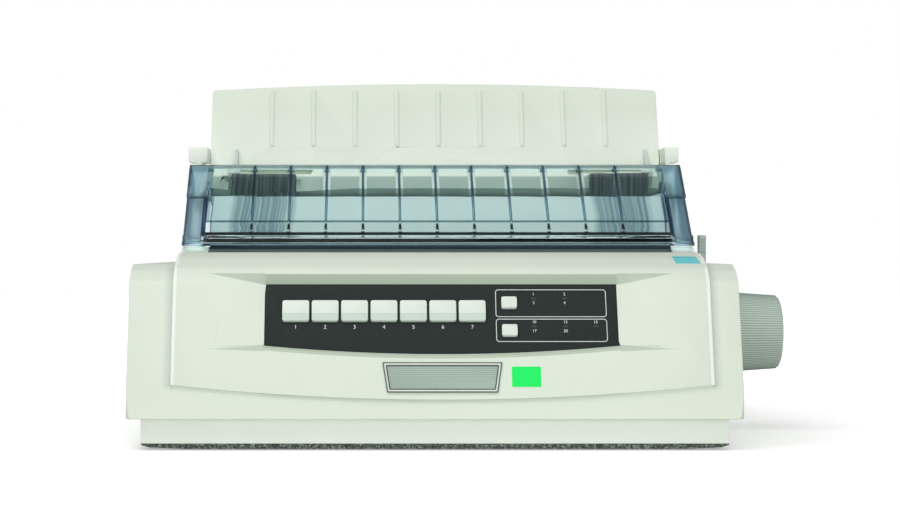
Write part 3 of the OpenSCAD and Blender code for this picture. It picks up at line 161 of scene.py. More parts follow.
def build_world(light_strength):
    world = bpy.data.worlds.new("studio")
    world.use_nodes = True
    tree = world.node_tree
    tree.nodes.clear()
    path = node(tree, "ShaderNodeLightPath").outputs
    seen = maths(tree, "MAXIMUM", path["Is Camera Ray"], path["Is Transmission Ray"])
    background = node(tree, "ShaderNodeBackground", Color=WHITE, Strength=ramped(tree, seen, 0, 1, light_strength, 1))
    node(tree, "ShaderNodeOutputWorld", Surface=background.outputs[0])
    bpy.context.scene.world = world


def area_lamp(name, place, aim, size, power):
    data = bpy.data.lights.new(name, "AREA")
    data.shape = "RECTANGLE"
    data.size, data.size_y = size
    data.energy = power
    lamp = linked(name, data)
    lamp.location = place
    lamp.rotation_euler = (aim - place).to_track_quat("-Z", "Y").to_euler()


build_world(light_strength=0.36)
target = at(0, 150, 90)
area_lamp("key_lamp", at(-500, -700, 1700), target, (1.6, 1.1), 15)
area_lamp("front_fill", at(300, -1600, 250), target, (1.8, 0.8), 10.5)


def build_floor(half=4.0):
    """A wide white floor, which also glows a little for the camera further out, as an overexposed sweep does."""
    mesh = bpy.data.meshes.new("floor")
    corners = [(-half, -half, 0), (half, -half, 0), (half, half, 0), (-half, half, 0)]
    mesh.from_pydata(corners, [], [(0, 1, 2, 3)])
    material, tree, shader = new_material("floor_white")
    glow = ramped(tree, maths(tree, "LENGTH", own_place(tree), kind=VECTOR_MATH), 0.22, 0.7, 0.4, 0.9)
    seen = node(tree, "ShaderNodeLightPath").outputs["Is Camera Ray"]
    fill(tree, shader, Base_Color=(0.9, 0.9, 0.9, 1), Roughness=0.9, Specular_IOR_Level=0.0, Emission_Color=WHITE,
         Emission_Strength=maths(tree, "MULTIPLY", seen, glow))
    mesh.materials.append(material)
    linked("floor", mesh)


build_floor()

# %% [markdown]
# Moulded plastic is never one flat colour. The tool that pressed it left a fine spark-eroded grain, and the
# resin has faint clouds. Both effects are used by nearly every material, so they are one shader group,
# built once: it puts out a colour, a roughness and a normal, and each material sets its own amounts.
# %% Moulded grain group


def srgb(r, g, b):
    """Screen values from 0 to 255 to the linear colour that shaders use."""
    def linear(c):
        c /= 255
        return c / 12.92 if c <= 0.04045 else ((c + 0.055) / 1.055) ** 2.4
    return (linear(r), linear(g), linear(b), 1)


def new_group(name, kind, inputs, outputs):
    """A node group, its given values and its end; inputs are (name, kind, default), outputs (name, kind)."""
    group = bpy.data.node_groups.new(name, kind)
    for sockets, way in ((inputs, "INPUT"), (outputs, "OUTPUT")):
        for label, value_kind, *default in sockets:
            socket = group.interface.new_socket(name=label, in_out=way, socket_type="NodeSocket" + value_kind)
            if default:
                socket.default_value = default[0]
    return group, node(group, "NodeGroupInput").outputs, node(group, "NodeGroupOutput")


def build_grain_group():
    group, given, end = new_group(
        "moulded grain", "ShaderNodeTree",
        (("Colour", "Color", (0.8, 0.8, 0.8, 1)), ("Clouds", "Float", 0.03), ("Grain size", "Float", 0.6),
         ("Grain depth", "Float", 0.15), ("Gloss", "Float", 0.45)),
        (("Colour", "Color"), ("Roughness", "Float"), ("Normal", "Vector")))
    place = own_place(group)
    frequency = maths(group, "DIVIDE", 1 / MM, given["Grain size"])
    grain = node(group, "ShaderNodeTexNoise", Vector=place, Scale=frequency, Detail=3).outputs["Fac"]
    clouds = node(group, "ShaderNodeTexNoise", Vector=place, Scale=14, Detail=4).outputs["Fac"]
    shade = ramped(group, clouds, 0.3, 0.7, maths(group, "SUBTRACT", 1.0, given["Clouds"]),
                   maths(group, "ADD", 1.0, given["Clouds"]))
    tint = node(group, "ShaderNodeMix", data_type="RGBA", blend_type="MULTIPLY", Factor=1.0, A=given["Colour"],
                B=shade)
    fill(group, end, Colour=tint.outputs["Result"], Normal=bumped(group, grain, given["Grain depth"], 0.1),
         Roughness=maths(group, "MULTIPLY_ADD", grain, 0.12, given["Gloss"]))
    return group


def bumped(tree, height, strength, depth):
    """The normal that a height gives; depth is in millimetres."""
    return node(tree, "ShaderNodeBump", Height=height, Strength=strength, Distance=depth * MM).outputs["Normal"]


grain_group = build_grain_group()
print("group:", grain_group.name)

# %% [markdown]
# A moulded material is then only a Principled shader fed by that group. The specular level is
# the same all over a piece, so it stays on the shader's own socket.
# %% Moulded plastics


def moulded(name, colour, clouds=0.02, grain=0.5, depth=0.12, gloss=0.42, specular=0.4):
    material, tree, shader = new_material(name)
    surface = node(tree, "ShaderNodeGroup", node_tree=grain_group, Colour=colour, Clouds=clouds, Grain_size=grain,
                   Grain_depth=depth, Gloss=gloss).outputs
    fill(tree, shader, Base_Color=surface["Colour"], Roughness=surface["Roughness"], Normal=surface["Normal"],
         Specular_IOR_Level=specular)
    return material


SHELL_WHITE, KEY_WHITE = srgb(226, 237, 221), srgb(226, 238, 225)
SHELL_GRAIN = {"clouds": 0.012, "grain": 0.45, "depth": 0.1, "gloss": 0.5}
KEY_GRAIN = {"clouds": 0.01, "grain": 0.3, "depth": 0.05, "gloss": 0.35}
KNOB_GRAIN = {"clouds": 0.03, "grain": 0.5, "depth": 0.15, "gloss": 0.5}


shell = moulded("shell_plastic", SHELL_WHITE, **SHELL_GRAIN)
keycap = moulded("key_plastic", KEY_WHITE, **KEY_GRAIN)
panel_dark = moulded("panel_plastic", srgb(38, 47, 45), clouds=0.05, grain=0.35, depth=0.2, gloss=0.6, specular=0.2)
knob_grey = moulded("knob_plastic", srgb(176, 192, 180), **KNOB_GRAIN)
black_plastic = moulded("black_plastic", srgb(34, 37, 40), clouds=0.08, grain=0.5, depth=0.2, gloss=0.45)
guide_plastic = moulded("guide_plastic", srgb(206, 220, 214), clouds=0.015, grain=0.4, depth=0.05, gloss=0.3)
acetal = moulded("acetal", srgb(232, 228, 212), clouds=0.02, grain=0.4, depth=0.05, gloss=0.3, specular=0.5)
rubber = moulded("rubber", srgb(42, 42, 44), clouds=0.08, grain=0.7, depth=0.35, gloss=0.72, specular=0.25)
print("moulded materials:", sum(m.name.endswith("plastic") for m in bpy.data.materials))

# %% [markdown]
# The hood is one clear smoked moulding. Its base colour tints what is seen through each wall, so two walls and
# a rib look darker than one, as on the real cover. Light that runs along a rib, a step or an edge passes through
# far more plastic, so those look navy or black. They are bands at known places, so each one is a mask on
# the hood's own coordinates, and the masks mix deeper tints into the clear one.
# %% Bands on a coordinate


def axis_of(tree, vector, axis):
    return node(tree, "ShaderNodeSeparateXYZ", Vector=vector).outputs[axis]


def distance(tree, source, centre):
    """How far a coordinate is from a value, to either side."""
    return maths(tree, "ABSOLUTE", maths(tree, "SUBTRACT", source, centre))


def linear_mask(tree, source, centre, half_width, softness):
    """1 within half_width of centre along a coordinate, falling to 0 over softness."""
    return falling(tree, distance(tree, source, centre), half_width, half_width + softness)


def falling(tree, source, full, none):
    """1 below full, 0 above none."""
    return ramped(tree, source, full, none, 1.0, 0.0)


def both(tree, first, *others):
    """The product of masks."""
    for mask in others:
        first = maths(tree, "MULTIPLY", first, mask)
    return first


def outside(tree, mask):
    return maths(tree, "SUBTRACT", 1.0, mask)


def painted(tree, under, mask, colour):
    """Mixes a colour over another one where the mask is 1."""
    return node(tree, "ShaderNodeMix", data_type="RGBA", Factor=mask, A=under, B=colour).outputs["Result"]


def repeated(tree, source, first, pitch):
    """The distance to the nearest of many lines, pitch apart, that are counted from the first."""
    return maths(tree, "PINGPONG", maths(tree, "SUBTRACT", source, first), pitch / 2)


print("mask helpers ready")

# %% [markdown]
# The tractors are ribbed from top to bottom, far too finely for the construction. A noise that only changes
# across the piece is nothing but upright stripes and gives that look, and a ramp turns the stripes into light ribs
# and dark grooves; the dark of the grooves is painted shade. The sheet guide carries the same stripes in two strips
# in front of the tractors, darker than the rest of it.
# %% Ribbed plastics


def ribbed_plastic(name, groove_shade, rib, rib_width, strips=(), plain=None):
    """Upright ribs; strips are (centre, half width) pairs across X, outside which the plain colour shows."""
    material, tree, shader = new_material(name)
    place = own_place(tree)
    across = maths(tree, "MULTIPLY", place, (1 / (rib_width * MM), 0, 0), kind=VECTOR_MATH)
    stripes = node(tree, "ShaderNodeTexNoise", Vector=across, Scale=1.0, Detail=2).outputs["Fac"]
    # The dark groove tone is painted shade between the ribs.
    ramp = node(tree, "ShaderNodeValToRGB", Fac=stripes)
    for stop, position, shade in zip(ramp.color_ramp.elements, (0.4, 0.62), (groove_shade, rib)):
        stop.position, stop.color = position, shade
    colour = ramp.outputs["Color"]
    if strips:
        under = node(tree, "ShaderNodeGroup", node_tree=grain_group, Colour=plain, Clouds=0.015, Grain_size=0.4,
                     Grain_depth=0.05).outputs["Colour"]
        for centre, half_width in strips:
            strip = linear_mask(tree, axis_of(tree, place, "X"), centre, half_width, 5 * MM)
            under = painted(tree, under, strip, colour)
        colour = under
    fill(tree, shader, Base_Color=colour, Normal=bumped(tree, stripes, 0.3, 0.3), Roughness=0.6,
         Specular_IOR_Level=0.12)
    return material


tractor_centres = [middle_x(name) for name in ("tractor_left", "tractor_right")]
tractor_grey = ribbed_plastic("tractor_plastic", srgb(44, 54, 57), srgb(104, 118, 118), rib_width=2.2)
# The sheet guide is darker and striped in two strips in front of the tractors, and plain elsewhere.
sheet_guide_striped = ribbed_plastic("sheet_guide_plastic", srgb(116, 136, 138), srgb(172, 190, 190), rib_width=2.0,
                                    strips=[(c, 15 * MM) for c in tractor_centres], plain=srgb(216, 224, 218))
print("tractors at x", [round(c / MM) for c in tractor_centres])

# %% [markdown]
# The tints from the outside in: slate at the two ends, navy ribs with a pale glint on either side, a
# fine line at the crease, black ticks where the ribs end, two black steps with a painted highlight between them,
# and the turned-down lip. Painted shade lies over the upper slope, for the shaded separator seen through it, and a
# painted highlight along the crown. A shadow ray passes through most of the wall, so the lamps reach the paper path
# as they do through real clear plastic.
# %% Smoked hood
hood_low, hood_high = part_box("hood")
hood_middle = middle_x("hood")
RIB_PITCH = 22.6 * MM
CREASE = 131 * MM
NOTCH_TOP = 146 * MM
END_WIDTH = 11.9 * MM
NOTCH_FOOT = 122 * MM
UPPER_FOOT = 147 * MM
CROWN = 7.6 * MM
RIB_FIELD = 5.4 * RIB_PITCH
STEPS, STEP_HIGHLIGHT = (123.4 * MM, 119.9 * MM), 121.7 * MM
LIP_TINTS = ((117.6 * MM, (46, 72, 90)), (114.2 * MM, (134, 146, 141)), (hood_low.z + 0.7 * MM, (40, 50, 56)))


def smoked_plastic(name, clear):
    material, tree, shader = new_material(name)
    place = own_place(tree)
    x, z = axis_of(tree, place, "X"), axis_of(tree, place, "Z")
    half = (hood_high.x - hood_low.x) / 2
    from_rib = repeated(tree, x, hood_middle, RIB_PITCH)

    def across(reach, soft):
        return linear_mask(tree, x, hood_middle, reach, soft * MM)

    def level(height, reach, soft):
        return linear_mask(tree, z, height, reach, soft * MM)

    def near_rib(full, none):
        return falling(tree, from_rib, full * MM, none * MM)

    inside = across(RIB_FIELD, 0.1)
    sloped = level((CREASE + hood_high.z) / 2, (hood_high.z - CREASE) / 2, 0.2)
    ribs = both(tree, inside, sloped)
    low_half = falling(tree, z, CREASE + 8 * MM, CREASE + 20 * MM)
    ends = outside(tree, across(half - END_WIDTH, 0.3))
    middle = across(half - END_WIDTH - 1 * MM, 0.4)
    layers = [
        # painted shade over the upper slope, for the shaded separator seen through it
        (level(hood_high.z, hood_high.z - UPPER_FOOT, 0.5), (178, 199, 199)),  # upper slope
        # painted highlight along the crown of the bend
        (level(hood_high.z, CROWN, 0.8), (246, 255, 255)),  # crown
        (both(tree, outside(tree, across(half - 16 * MM, 1)), sloped), (150, 178, 190)),  # slate beside the ends
        (ends, (182, 212, 226)),  # the ends
        (both(tree, ends, level(NOTCH_TOP, 0.35 * MM, 0.3)), (70, 92, 108)),  # over each notch
        (both(tree, ribs, near_rib(2.0, 2.6)), (224, 240, 240)),  # glint beside a rib
        (both(tree, ribs, near_rib(0.55, 0.95)), (84, 112, 136)),  # rib
        (both(tree, ribs, low_half, near_rib(0.2, 0.4)), (150, 186, 206)),  # heart of a rib
        (both(tree, level(CREASE - 3.4 * MM, 1.4 * MM, 0.3), inside, near_rib(0.6, 0.9)), (24, 34, 46)),  # tick
        (both(tree, middle, level(CREASE, 0.3 * MM, 0.3)), (84, 112, 122)),  # crease
        # painted highlight between the two black steps
        (both(tree, middle, level(STEP_HIGHLIGHT, 1.2 * MM, 0.2)), (236, 250, 252)),  # between the steps
    ]
    layers += [(both(tree, middle, level(step, 0.6 * MM, 0.25)), (8, 14, 22)) for step in STEPS]
    layers += [(both(tree, middle, level(hood_low.z, top - hood_low.z, 0.3)), tint) for top, tint in LIP_TINTS]
    layers.append((outside(tree, across(half - 1.9 * MM, 0.4)), (96, 116, 136)))  # outer edges
    notch = level((NOTCH_TOP + NOTCH_FOOT) / 2, (NOTCH_TOP - NOTCH_FOOT) / 2, 0.3)
    for side in (-1, 1):
        upright = linear_mask(tree, x, hood_middle + side * (half - END_WIDTH), 1.1 * MM, 0.4 * MM)
        layers.append((both(tree, upright, notch), (62, 86, 118)))
    layers.append((level(hood_high.z, 0.6 * MM, 0.3), (92, 116, 126)))  # top edge
    colour = clear
    for mask, tint in layers:
        colour = painted(tree, colour, mask, srgb(*tint))
    ripple = node(tree, "ShaderNodeTexNoise", Vector=place, Scale=60).outputs["Fac"]
    shadow = node(tree, "ShaderNodeLightPath").outputs["Is Shadow Ray"]
    fill(tree, shader, Base_Color=colour, Normal=bumped(tree, ripple, 0.004, 0.3), IOR=1.2, Transmission_Weight=1.0,
         Alpha=ramped(tree, shadow, 0, 1, 1.0, 0.15), Roughness=ramped(tree, ends, 0, 1, 0.03, 0.3))
    return material


smoke = smoked_plastic("smoked_plastic", srgb(223, 236, 238))
print("hood from x %.0f to %.0f mm, z %.0f to %.0f mm" % (hood_low.x / MM, hood_high.x / MM, hood_low.z / MM,
                                                         hood_high.z / MM))

# %% [markdown]
# Ground rods, plated sheet and castings share one effect: fine parallel scratches, stretched along the
# direction of work. The group stretches a noise along X, as these pieces were drawn or ground lengthwise.
# %% Drawn metal group and metals


def build_drawn_group():
    group, given, end = new_group(
        "drawn metal", "ShaderNodeTree",
        (("Stretch", "Vector", (40, 1600, 1600)), ("Gloss", "Float", 0.3), ("Depth", "Float", 0.1)),
        (("Roughness", "Float"), ("Normal", "Vector")))
    along = maths(group, "MULTIPLY", own_place(group), given["Stretch"], kind=VECTOR_MATH)
    scratches = node(group, "ShaderNodeTexNoise", Vector=along, Scale=1.0, Detail=4).outputs["Fac"]
    fill(group, end, Roughness=maths(group, "MULTIPLY_ADD", scratches, 0.25, given["Gloss"]),
         Normal=bumped(group, scratches, given["Depth"], 0.05))
    return group


drawn_group = build_drawn_group()


def metal(name, colour, gloss=0.25, depth=0.08, metallic=1.0, stretch=(40, 1600, 1600)):
    material, tree, shader = new_material(name)
    surface = node(tree, "ShaderNodeGroup", node_tree=drawn_group, Gloss=gloss, Depth=depth, Stretch=stretch).outputs
    fill(tree, shader, Base_Color=colour, Metallic=metallic, Roughness=surface["Roughness"],
         Normal=surface["Normal"])
    return material


steel = metal("plated_steel", srgb(196, 200, 204))
# The guide rods get a dark grey-green instead of plated steel: painted shade, so that they read as part of the shade
# behind the hood.
shaft_in_shade = metal("shaft_in_shade", srgb(132, 150, 140), gloss=0.6, metallic=0.0)
sheet_steel = metal("zinc_sheet", srgb(176, 182, 186), gloss=0.35, stretch=(900, 900, 60))
bronze = metal("bearing_bronze", srgb(196, 152, 92), gloss=0.35)
cast_black = metal("black_casting", srgb(52, 54, 58), gloss=0.5, depth=0.3, metallic=0.6, stretch=(900, 900, 900))
motor_black = metal("motor_can", srgb(60, 62, 66), gloss=0.35, metallic=0.8)
copper = metal("contact_metal", srgb(214, 176, 98), gloss=0.2)
print("metals:", [m.name for m in (steel, sheet_steel, bronze, cast_black, motor_black, copper)])

# %% [markdown]
# Two speckled finishes: the bottom plate is dark, with light and dark flecks, and a circuit
# board shows its copper tracks as slightly lighter lines under green lacquer. Each is a Voronoi pattern, which
# makes cells of even size, at the scale of the real fleck or track.
# %% Speckle and circuit board


def speckled(name, dark, middle, light, fleck):
    material, tree, shader = new_material(name)
    cells = node(tree, "ShaderNodeTexVoronoi", Vector=own_place(tree), Scale=1 / (fleck * MM)).outputs
    shades = node(tree, "ShaderNodeSeparateColor", Color=cells["Color"]).outputs
    ramp = node(tree, "ShaderNodeValToRGB", Fac=shades["Red"])
    stops = ramp.color_ramp
    stops.interpolation = "CONSTANT"
    stops.elements[0].color = dark
    stops.elements[1].position, stops.elements[1].color = 0.78, light
    stops.elements.new(0.3).color = middle
    fill(tree, shader, Base_Color=ramp.outputs["Color"], Normal=bumped(tree, cells["Distance"], 0.3, 0.2),
         Roughness=0.7)
    return material


def circuit_board(name, lacquer, track):
    material, tree, shader = new_material(name)
    tracks = node(tree, "ShaderNodeTexBrick", Vector=own_place(tree), Scale=1 / (7 * MM), Mortar_Size=0.045,
                  Color1=lacquer, Color2=lacquer, Mortar=track)
    fill(tree, shader, Base_Color=tracks.outputs["Color"], Roughness=0.35)
    return material


plinth_speckle = speckled("plinth_speckle", srgb(44, 54, 46), srgb(78, 92, 80), srgb(128, 142, 128), fleck=0.9)
board_green = circuit_board("board_lacquer", srgb(24, 84, 46), srgb(58, 128, 80))
print("speckle and board ready")

# %% [markdown]
# A raw CAD solid has razor edges, which catch no light and look cut from paper. `dress` makes a copy
# whose triangles are merged back into whole faces, gives each edge a small true radius, and shades curved faces
# smooth but for its real corners. The copy then stands for the node, in the same place and on the same body.
# %% Dressing a CAD node


def plain_mesh(piece):
    """What an object's curve or modifiers make, as a plain mesh."""
    graph = bpy.context.evaluated_depsgraph_get()
    return bpy.data.meshes.new_from_object(piece.evaluated_get(graph))


def mesh_of(shape, name):
    """Turns a bmesh into a mesh and frees it."""
    mesh = bpy.data.meshes.new(name)
    shape.to_mesh(mesh)
    shape.free()
    return mesh


def finished(piece, material, body):
    """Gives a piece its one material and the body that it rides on."""
    piece.data.materials.clear()
    piece.data.materials.append(material)
    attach(piece, body)
    return piece


def baked(piece):
    """Turns the piece's live modifiers into plain mesh."""
    mesh = plain_mesh(piece)
    piece.modifiers.clear()
    piece.data = mesh


def merged_copy(name):
    mesh = frame["nodes"][name].data.copy()
    shape = bmesh.new()
    shape.from_mesh(mesh)
    bmesh.ops.remove_doubles(shape, verts=shape.verts, dist=1e-6)
    bmesh.ops.dissolve_limit(shape, angle_limit=math.radians(0.4), verts=shape.verts, edges=shape.edges)
    shape.to_mesh(mesh)
    shape.free()
    return linked("look_" + name, mesh)


def dress(name, material, radius=0.3):
    """A softened copy of a CAD node; radius is the edge radius in millimetres, or 0 for none."""
    piece = merged_copy(name)
    if radius:
        bevel = piece.modifiers.new("edge_radius", "BEVEL")
        bevel.width = radius * MM
        bevel.segments = 2
        bevel.limit_method = "ANGLE"
        bevel.angle_limit = math.radians(28)
        bevel.use_clamp_overlap = False
        bevel.harden_normals = False
        baked(piece)
        low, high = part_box(name)
        for vertex in piece.data.vertices:
            vertex.co = [min(max(vertex.co[i], low[i]), high[i]) for i in range(3)]
    piece.data.shade_smooth()
    piece.data.set_sharp_from_angle(angle=math.radians(32))
    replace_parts(finished(piece, material, body_of[name]), name)


# %% [markdown]
# Printing and plates sit on two sloping planes: the dark panel's and the bezel's. Each plane is read from the
# piece itself, by taking its largest flat face that looks at the front, so nothing here repeats an angle.
# %% Planes of the panel and the bezel
ACROSS = Vector((1, 0, 0))


def front_plane(name):
    """A matrix whose X runs across, Y up the slope and Z out of the front face of a node."""
    piece = merged_copy(name)
    faces = [f for f in piece.data.polygons if f.normal.y < -0.5]
    face = max(faces, key=lambda f: f.area)
    out = face.normal.normalized()
    up = out.cross(ACROSS).normalized()
    lowest = min(v.co.dot(up) for v in piece.data.vertices)
    foot = out * out.dot(piece.data.vertices[face.vertices[0]].co) + up * lowest
    bpy.data.objects.remove(piece)
    matrix = Matrix((ACROSS, up, out)).transposed().to_4x4()
    matrix.translation = Vector((case_x, foot.y, foot.z))
    return matrix


panel_plane = front_plane("control_panel")
bezel_plane = front_plane("nameplate")
print("panel slope %.1f degrees" % math.degrees(math.asin(panel_plane.col[1].z)))

# %% [markdown]
# Some mouldings are not one even tone. A menu key has a bright upper half and a duller finger rest below it.
# The knob's flutes hold shade, painted in as a darker tint. Each tone is a mask: here on height, and on the angle
# round the knob's axis.
# %% Two-tone mouldings and painted flute shade


def blended(name, base_colour, *layers, **grain):
    """A moulded material with tints laid on top: pairs of mask(tree, object coordinates) and colour."""
    material = moulded(name, base_colour, **grain)
    tree = material.node_tree
    colour, place = base_colour, own_place(tree)
    for mask, tint in layers:
        colour = painted(tree, colour, mask(tree, place), tint)
    fill(tree, next(n for n in tree.nodes if n.type == "GROUP"), Colour=colour)
    return material


menu_low, menu_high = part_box("menu_key_1")


def finger_rest(tree, place):
    split = menu_low.z + 0.48 * (menu_high.z - menu_low.z)
    return falling(tree, axis_of(tree, place, "Z"), split - 0.1 * MM, split + 0.2 * MM)


knob_low, knob_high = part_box("platen_knob")
FLUTES = 96


# Painted shade: a darker tint in each flute, along the knob's fluted length.
def flute_grooves(tree, place):
    turn = maths(tree, "ARCTAN2",
                 maths(tree, "SUBTRACT", axis_of(tree, place, "Z"), (knob_low.z + knob_high.z) / 2),
                 maths(tree, "SUBTRACT", axis_of(tree, place, "Y"), (knob_low.y + knob_high.y) / 2))
    step = 2 * math.pi / FLUTES
    shaded_flutes = falling(tree, repeated(tree, turn, 0.0, step), 0.1 * step, 0.3 * step)
    length = linear_mask(tree, axis_of(tree, place, "X"), knob_high.x - 21 * MM, 18.6 * MM, 0.6 * MM)
    return both(tree, shaded_flutes, length)


menu_cap = blended("menu_key_plastic", KEY_WHITE, (finger_rest, srgb(208, 224, 211)), **KEY_GRAIN)
knob_fluted = blended("fluted_knob_plastic", srgb(198, 214, 200), (flute_grooves, srgb(150, 168, 156)), **KNOB_GRAIN)
print("two-tone materials:", menu_cap.name, knob_fluted.name)

# %% [markdown]
# The bezel's hollow gets painted shade, so it looks darker. A point is in it when it lies behind the bezel's
# own plane, below the brow and not far from the panel. Only the brow's underside and the ledge are toned, which
# the surface's own slope tells apart from the two bright cheeks. Two wedges of painted shade run out from the
# panel's corners, a line of painted shade follows its lower edge, and the bezel's ends carry a painted highlight.
# The cover has painted shade where it meets the bezel, and painted light makes the separator a little lighter
# towards its foot.
# %% Shaded case mouldings
raised_x = middle_x("nameplate")
PANEL_HALF, WEDGE_LENGTH = 102.4 * MM, 31.6 * MM
bezel_low, bezel_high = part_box("front_bezel")


# Painted shade in the hollow, under the brow and on the ledge.
def hollow(tree, place):
    out = bezel_plane.col[2].xyz
    depth = maths(tree, "DOT_PRODUCT", place, out, kind=VECTOR_MATH)
    level = bezel_plane.translation.dot(out) - 0.6 * MM
    behind = falling(tree, depth, level - 0.9 * MM, level - 0.15 * MM)
    near = linear_mask(tree, axis_of(tree, place, "X"), raised_x, PANEL_HALF, 1 * MM)
    below = falling(tree, axis_of(tree, place, "Z"), 99.6 * MM, 100.4 * MM)
    slope = axis_of(tree, node(tree, "ShaderNodeNewGeometry").outputs["True Normal"], "Z")
    walls = maths(tree, "MAXIMUM", falling(tree, slope, 0.1, 0.28), falling(tree, slope, 0.72, 0.58))
    return both(tree, behind, walls, near, below)


def away_from(tree, place, centre):
    """Distance to either side of a plane across the machine."""
    return distance(tree, axis_of(tree, place, "X"), centre)


def ledge_line(tree, place):
    """Painted shade on the narrow ledge under the panel, which sags with the panel's lower edge."""
    across = away_from(tree, place, raised_x)
    height = maths(tree, "MULTIPLY_ADD", maths(tree, "MULTIPLY", across, across), -4.8 * MM / PANEL_HALF ** 2,
                   axis_of(tree, place, "Z"))
    inside = falling(tree, across, PANEL_HALF, PANEL_HALF + 0.5 * MM)
    return both(tree, linear_mask(tree, height, 53.5 * MM, 1.3 * MM, 0.4 * MM), inside)


# Painted shade: two wedges that run out from the panel's corners.
def wedge(height, rise, half):
    """A mask that starts at the panel's corner, 2 * half high, and runs out to a point on either side."""
    def mask(tree, place):
        along = maths(tree, "SUBTRACT", away_from(tree, place, raised_x), PANEL_HALF)
        climb = maths(tree, "MULTIPLY_ADD", along, -rise, axis_of(tree, place, "Z"))
        reach = maths(tree, "MULTIPLY_ADD", along, half / WEDGE_LENGTH, distance(tree, climb, height))
        beyond = falling(tree, along, -0.6 * MM, -1 * MM)
        return both(tree, falling(tree, reach, half - 0.3 * MM, half + 0.2 * MM), beyond)
    return mask


bezel_span = (bezel_high.x - bezel_low.x) / 2


# Painted highlight along the bezel's two ends.
def worn_edge(tree, place):
    away = away_from(tree, place, bezel_low.x + bezel_span)
    return falling(tree, away, bezel_span - 1.8 * MM, bezel_span - 2.2 * MM)


# Painted shade on the cover beside the bezel's ends.
def seam_shade(tree, place):
    away = away_from(tree, place, bezel_low.x + bezel_span)
    height = axis_of(tree, place, "Z")
    return both(tree, falling(tree, away, bezel_span + 0.4 * MM, bezel_span + 5.5 * MM),
                falling(tree, away, bezel_span - 1.0 * MM, bezel_span - 1.4 * MM),
                falling(tree, axis_of(tree, place, "Y"), bezel_low.y + 40 * MM, bezel_low.y + 60 * MM),
                falling(tree, height, 104 * MM, 110 * MM), falling(tree, height, 37 * MM, 34 * MM))


# Painted light: the separator is lighter towards its foot.
def lower_face(tree, place):
    return falling(tree, axis_of(tree, place, "Z"), 168 * MM, 206 * MM)


bezel_shell = blended("bezel_plastic", SHELL_WHITE, (hollow, srgb(178, 194, 172)),
                      (wedge(97.1 * MM, 0.105, 3.35 * MM), srgb(190, 205, 186)),
                      (wedge(57.9 * MM, -0.017, 1.8 * MM), srgb(196, 209, 190)),
                      (ledge_line, srgb(190, 204, 185)), (worn_edge, srgb(248, 253, 246)), **SHELL_GRAIN)
cover_shell = blended("cover_plastic", SHELL_WHITE, (seam_shade, srgb(198, 211, 193)), **SHELL_GRAIN)
# The base tray and the cover brackets get lighter copies of the shell colour: painted light, against the shade that
# falls on them.
lit_shell = moulded("lit_shell_plastic", srgb(242, 251, 238), **SHELL_GRAIN)
lit_ear_shell = moulded("lit_ear_plastic", srgb(246, 255, 242), **SHELL_GRAIN)
separator_shell = blended("separator_plastic", SHELL_WHITE, (lower_face, srgb(243, 252, 238)), **SHELL_GRAIN)
print("hollow centred at x %.0f mm" % (raised_x / MM))

# %% [markdown]
# The case is five mouldings in nearly the same warm white; the base tray and the cover brackets are lighter copies,
# painted light against the shade that falls on them. The big covers get the largest edge radius, as deep
# injection tools have. The dark bottom plate stays nearly sharp, because it is cut sheet.
# %% Dress the case
dress("main_cover", cover_shell, 0.5)
dress("separator", separator_shell, 0.4)
dress("base_tray", lit_shell, 0.5)
dress("cover_brackets", lit_ear_shell, 0.5)
dress("front_bezel", bezel_shell, 0.35)
dress("plinth", plinth_speckle, 0.2)
dress("rubber_feet", rubber, 0.5)
dress("case_screws", steel, 0.2)
dress("control_panel", panel_dark, 0.15)
dress("hood", smoke, 0.2)
print("case dressed")

# %% [markdown]
# Moving plastic: the knob and its lever are the printer's only grey-green pieces, and the keys are a shade
# lighter than the case because hands keep them clean of the yellowing that shelves cause.
# %% Dress the knob, keys and sheet guides
dress("platen_knob", knob_fluted, 0.0)
dress("paper_lever", knob_grey, 0.25)
dress("ribbon_knob", knob_grey, 0.3)
for name in frame["nodes"]:
    if name.endswith("_key") or name.startswith("menu_key_"):
        dress(name, menu_cap if name.startswith("menu_key_") else keycap, 0.3)
    if name.startswith("sheet_guide"):
        dress(name, guide_plastic, 0.3)
    if name.startswith("tractor_") and name.split("_")[-1] in ("left", "right", "door"):
        dress(name, tractor_grey, 0.2)
print("keys:", sum(n.endswith("_key") or n.startswith("menu_key_") for n in frame["nodes"]))

# %% [markdown]
# Inside, the sheet path is bright and the machinery is dark or bare metal, so that a user sees at once where
# paper goes. Gears and pulleys are natural acetal, which has a waxy cream colour.
# %% Dress the mechanism
inside = {
    "paper_guide": (sheet_guide_striped, 0.3), "paper_chute": (black_plastic, 0.2),
    "side_plates": (sheet_steel, 0.15), "mechanism_frame": (sheet_steel, 0.2),
    "guide_rods": (shaft_in_shade, 0.3), "platen_bushings": (bronze, 0.2), "platen_roller": (rubber, 0.4),
    "platen_shaft": (steel, 0.3), "platen_gear": (acetal, 0.0), "idler_gear": (acetal, 0.0),
    "motor_pinion": (acetal, 0.0), "tractor_gear": (acetal, 0.0), "tractor_shaft": (steel, 0.2),
    "tractor_left_sprocket": (acetal, 0.2), "tractor_right_sprocket": (acetal, 0.2),
    "feed_rollers": (rubber, 0.3), "step_motors": (motor_black, 0.5), "timing_belt": (rubber, 0.0),
    "main_board": (board_green, 0.15), "transformer": (motor_black, 0.4), "key_board": (board_green, 0.1),
    "carriage_frame": (black_plastic, 0.3), "print_head": (cast_black, 0.2),
    "ribbon_cartridge": (black_plastic, 0.4), "drive_pulley": (acetal, 0.2),
    "idler_pulley": (acetal, 0.2), "paper_bail": (black_plastic, 0.3), "power_inlet": (black_plastic, 0.3),
    "interface_ports": (steel, 0.2), "power_switch": (black_plastic, 0.4),
}
for name, (material, radius) in inside.items():
    dress(name, material, radius)
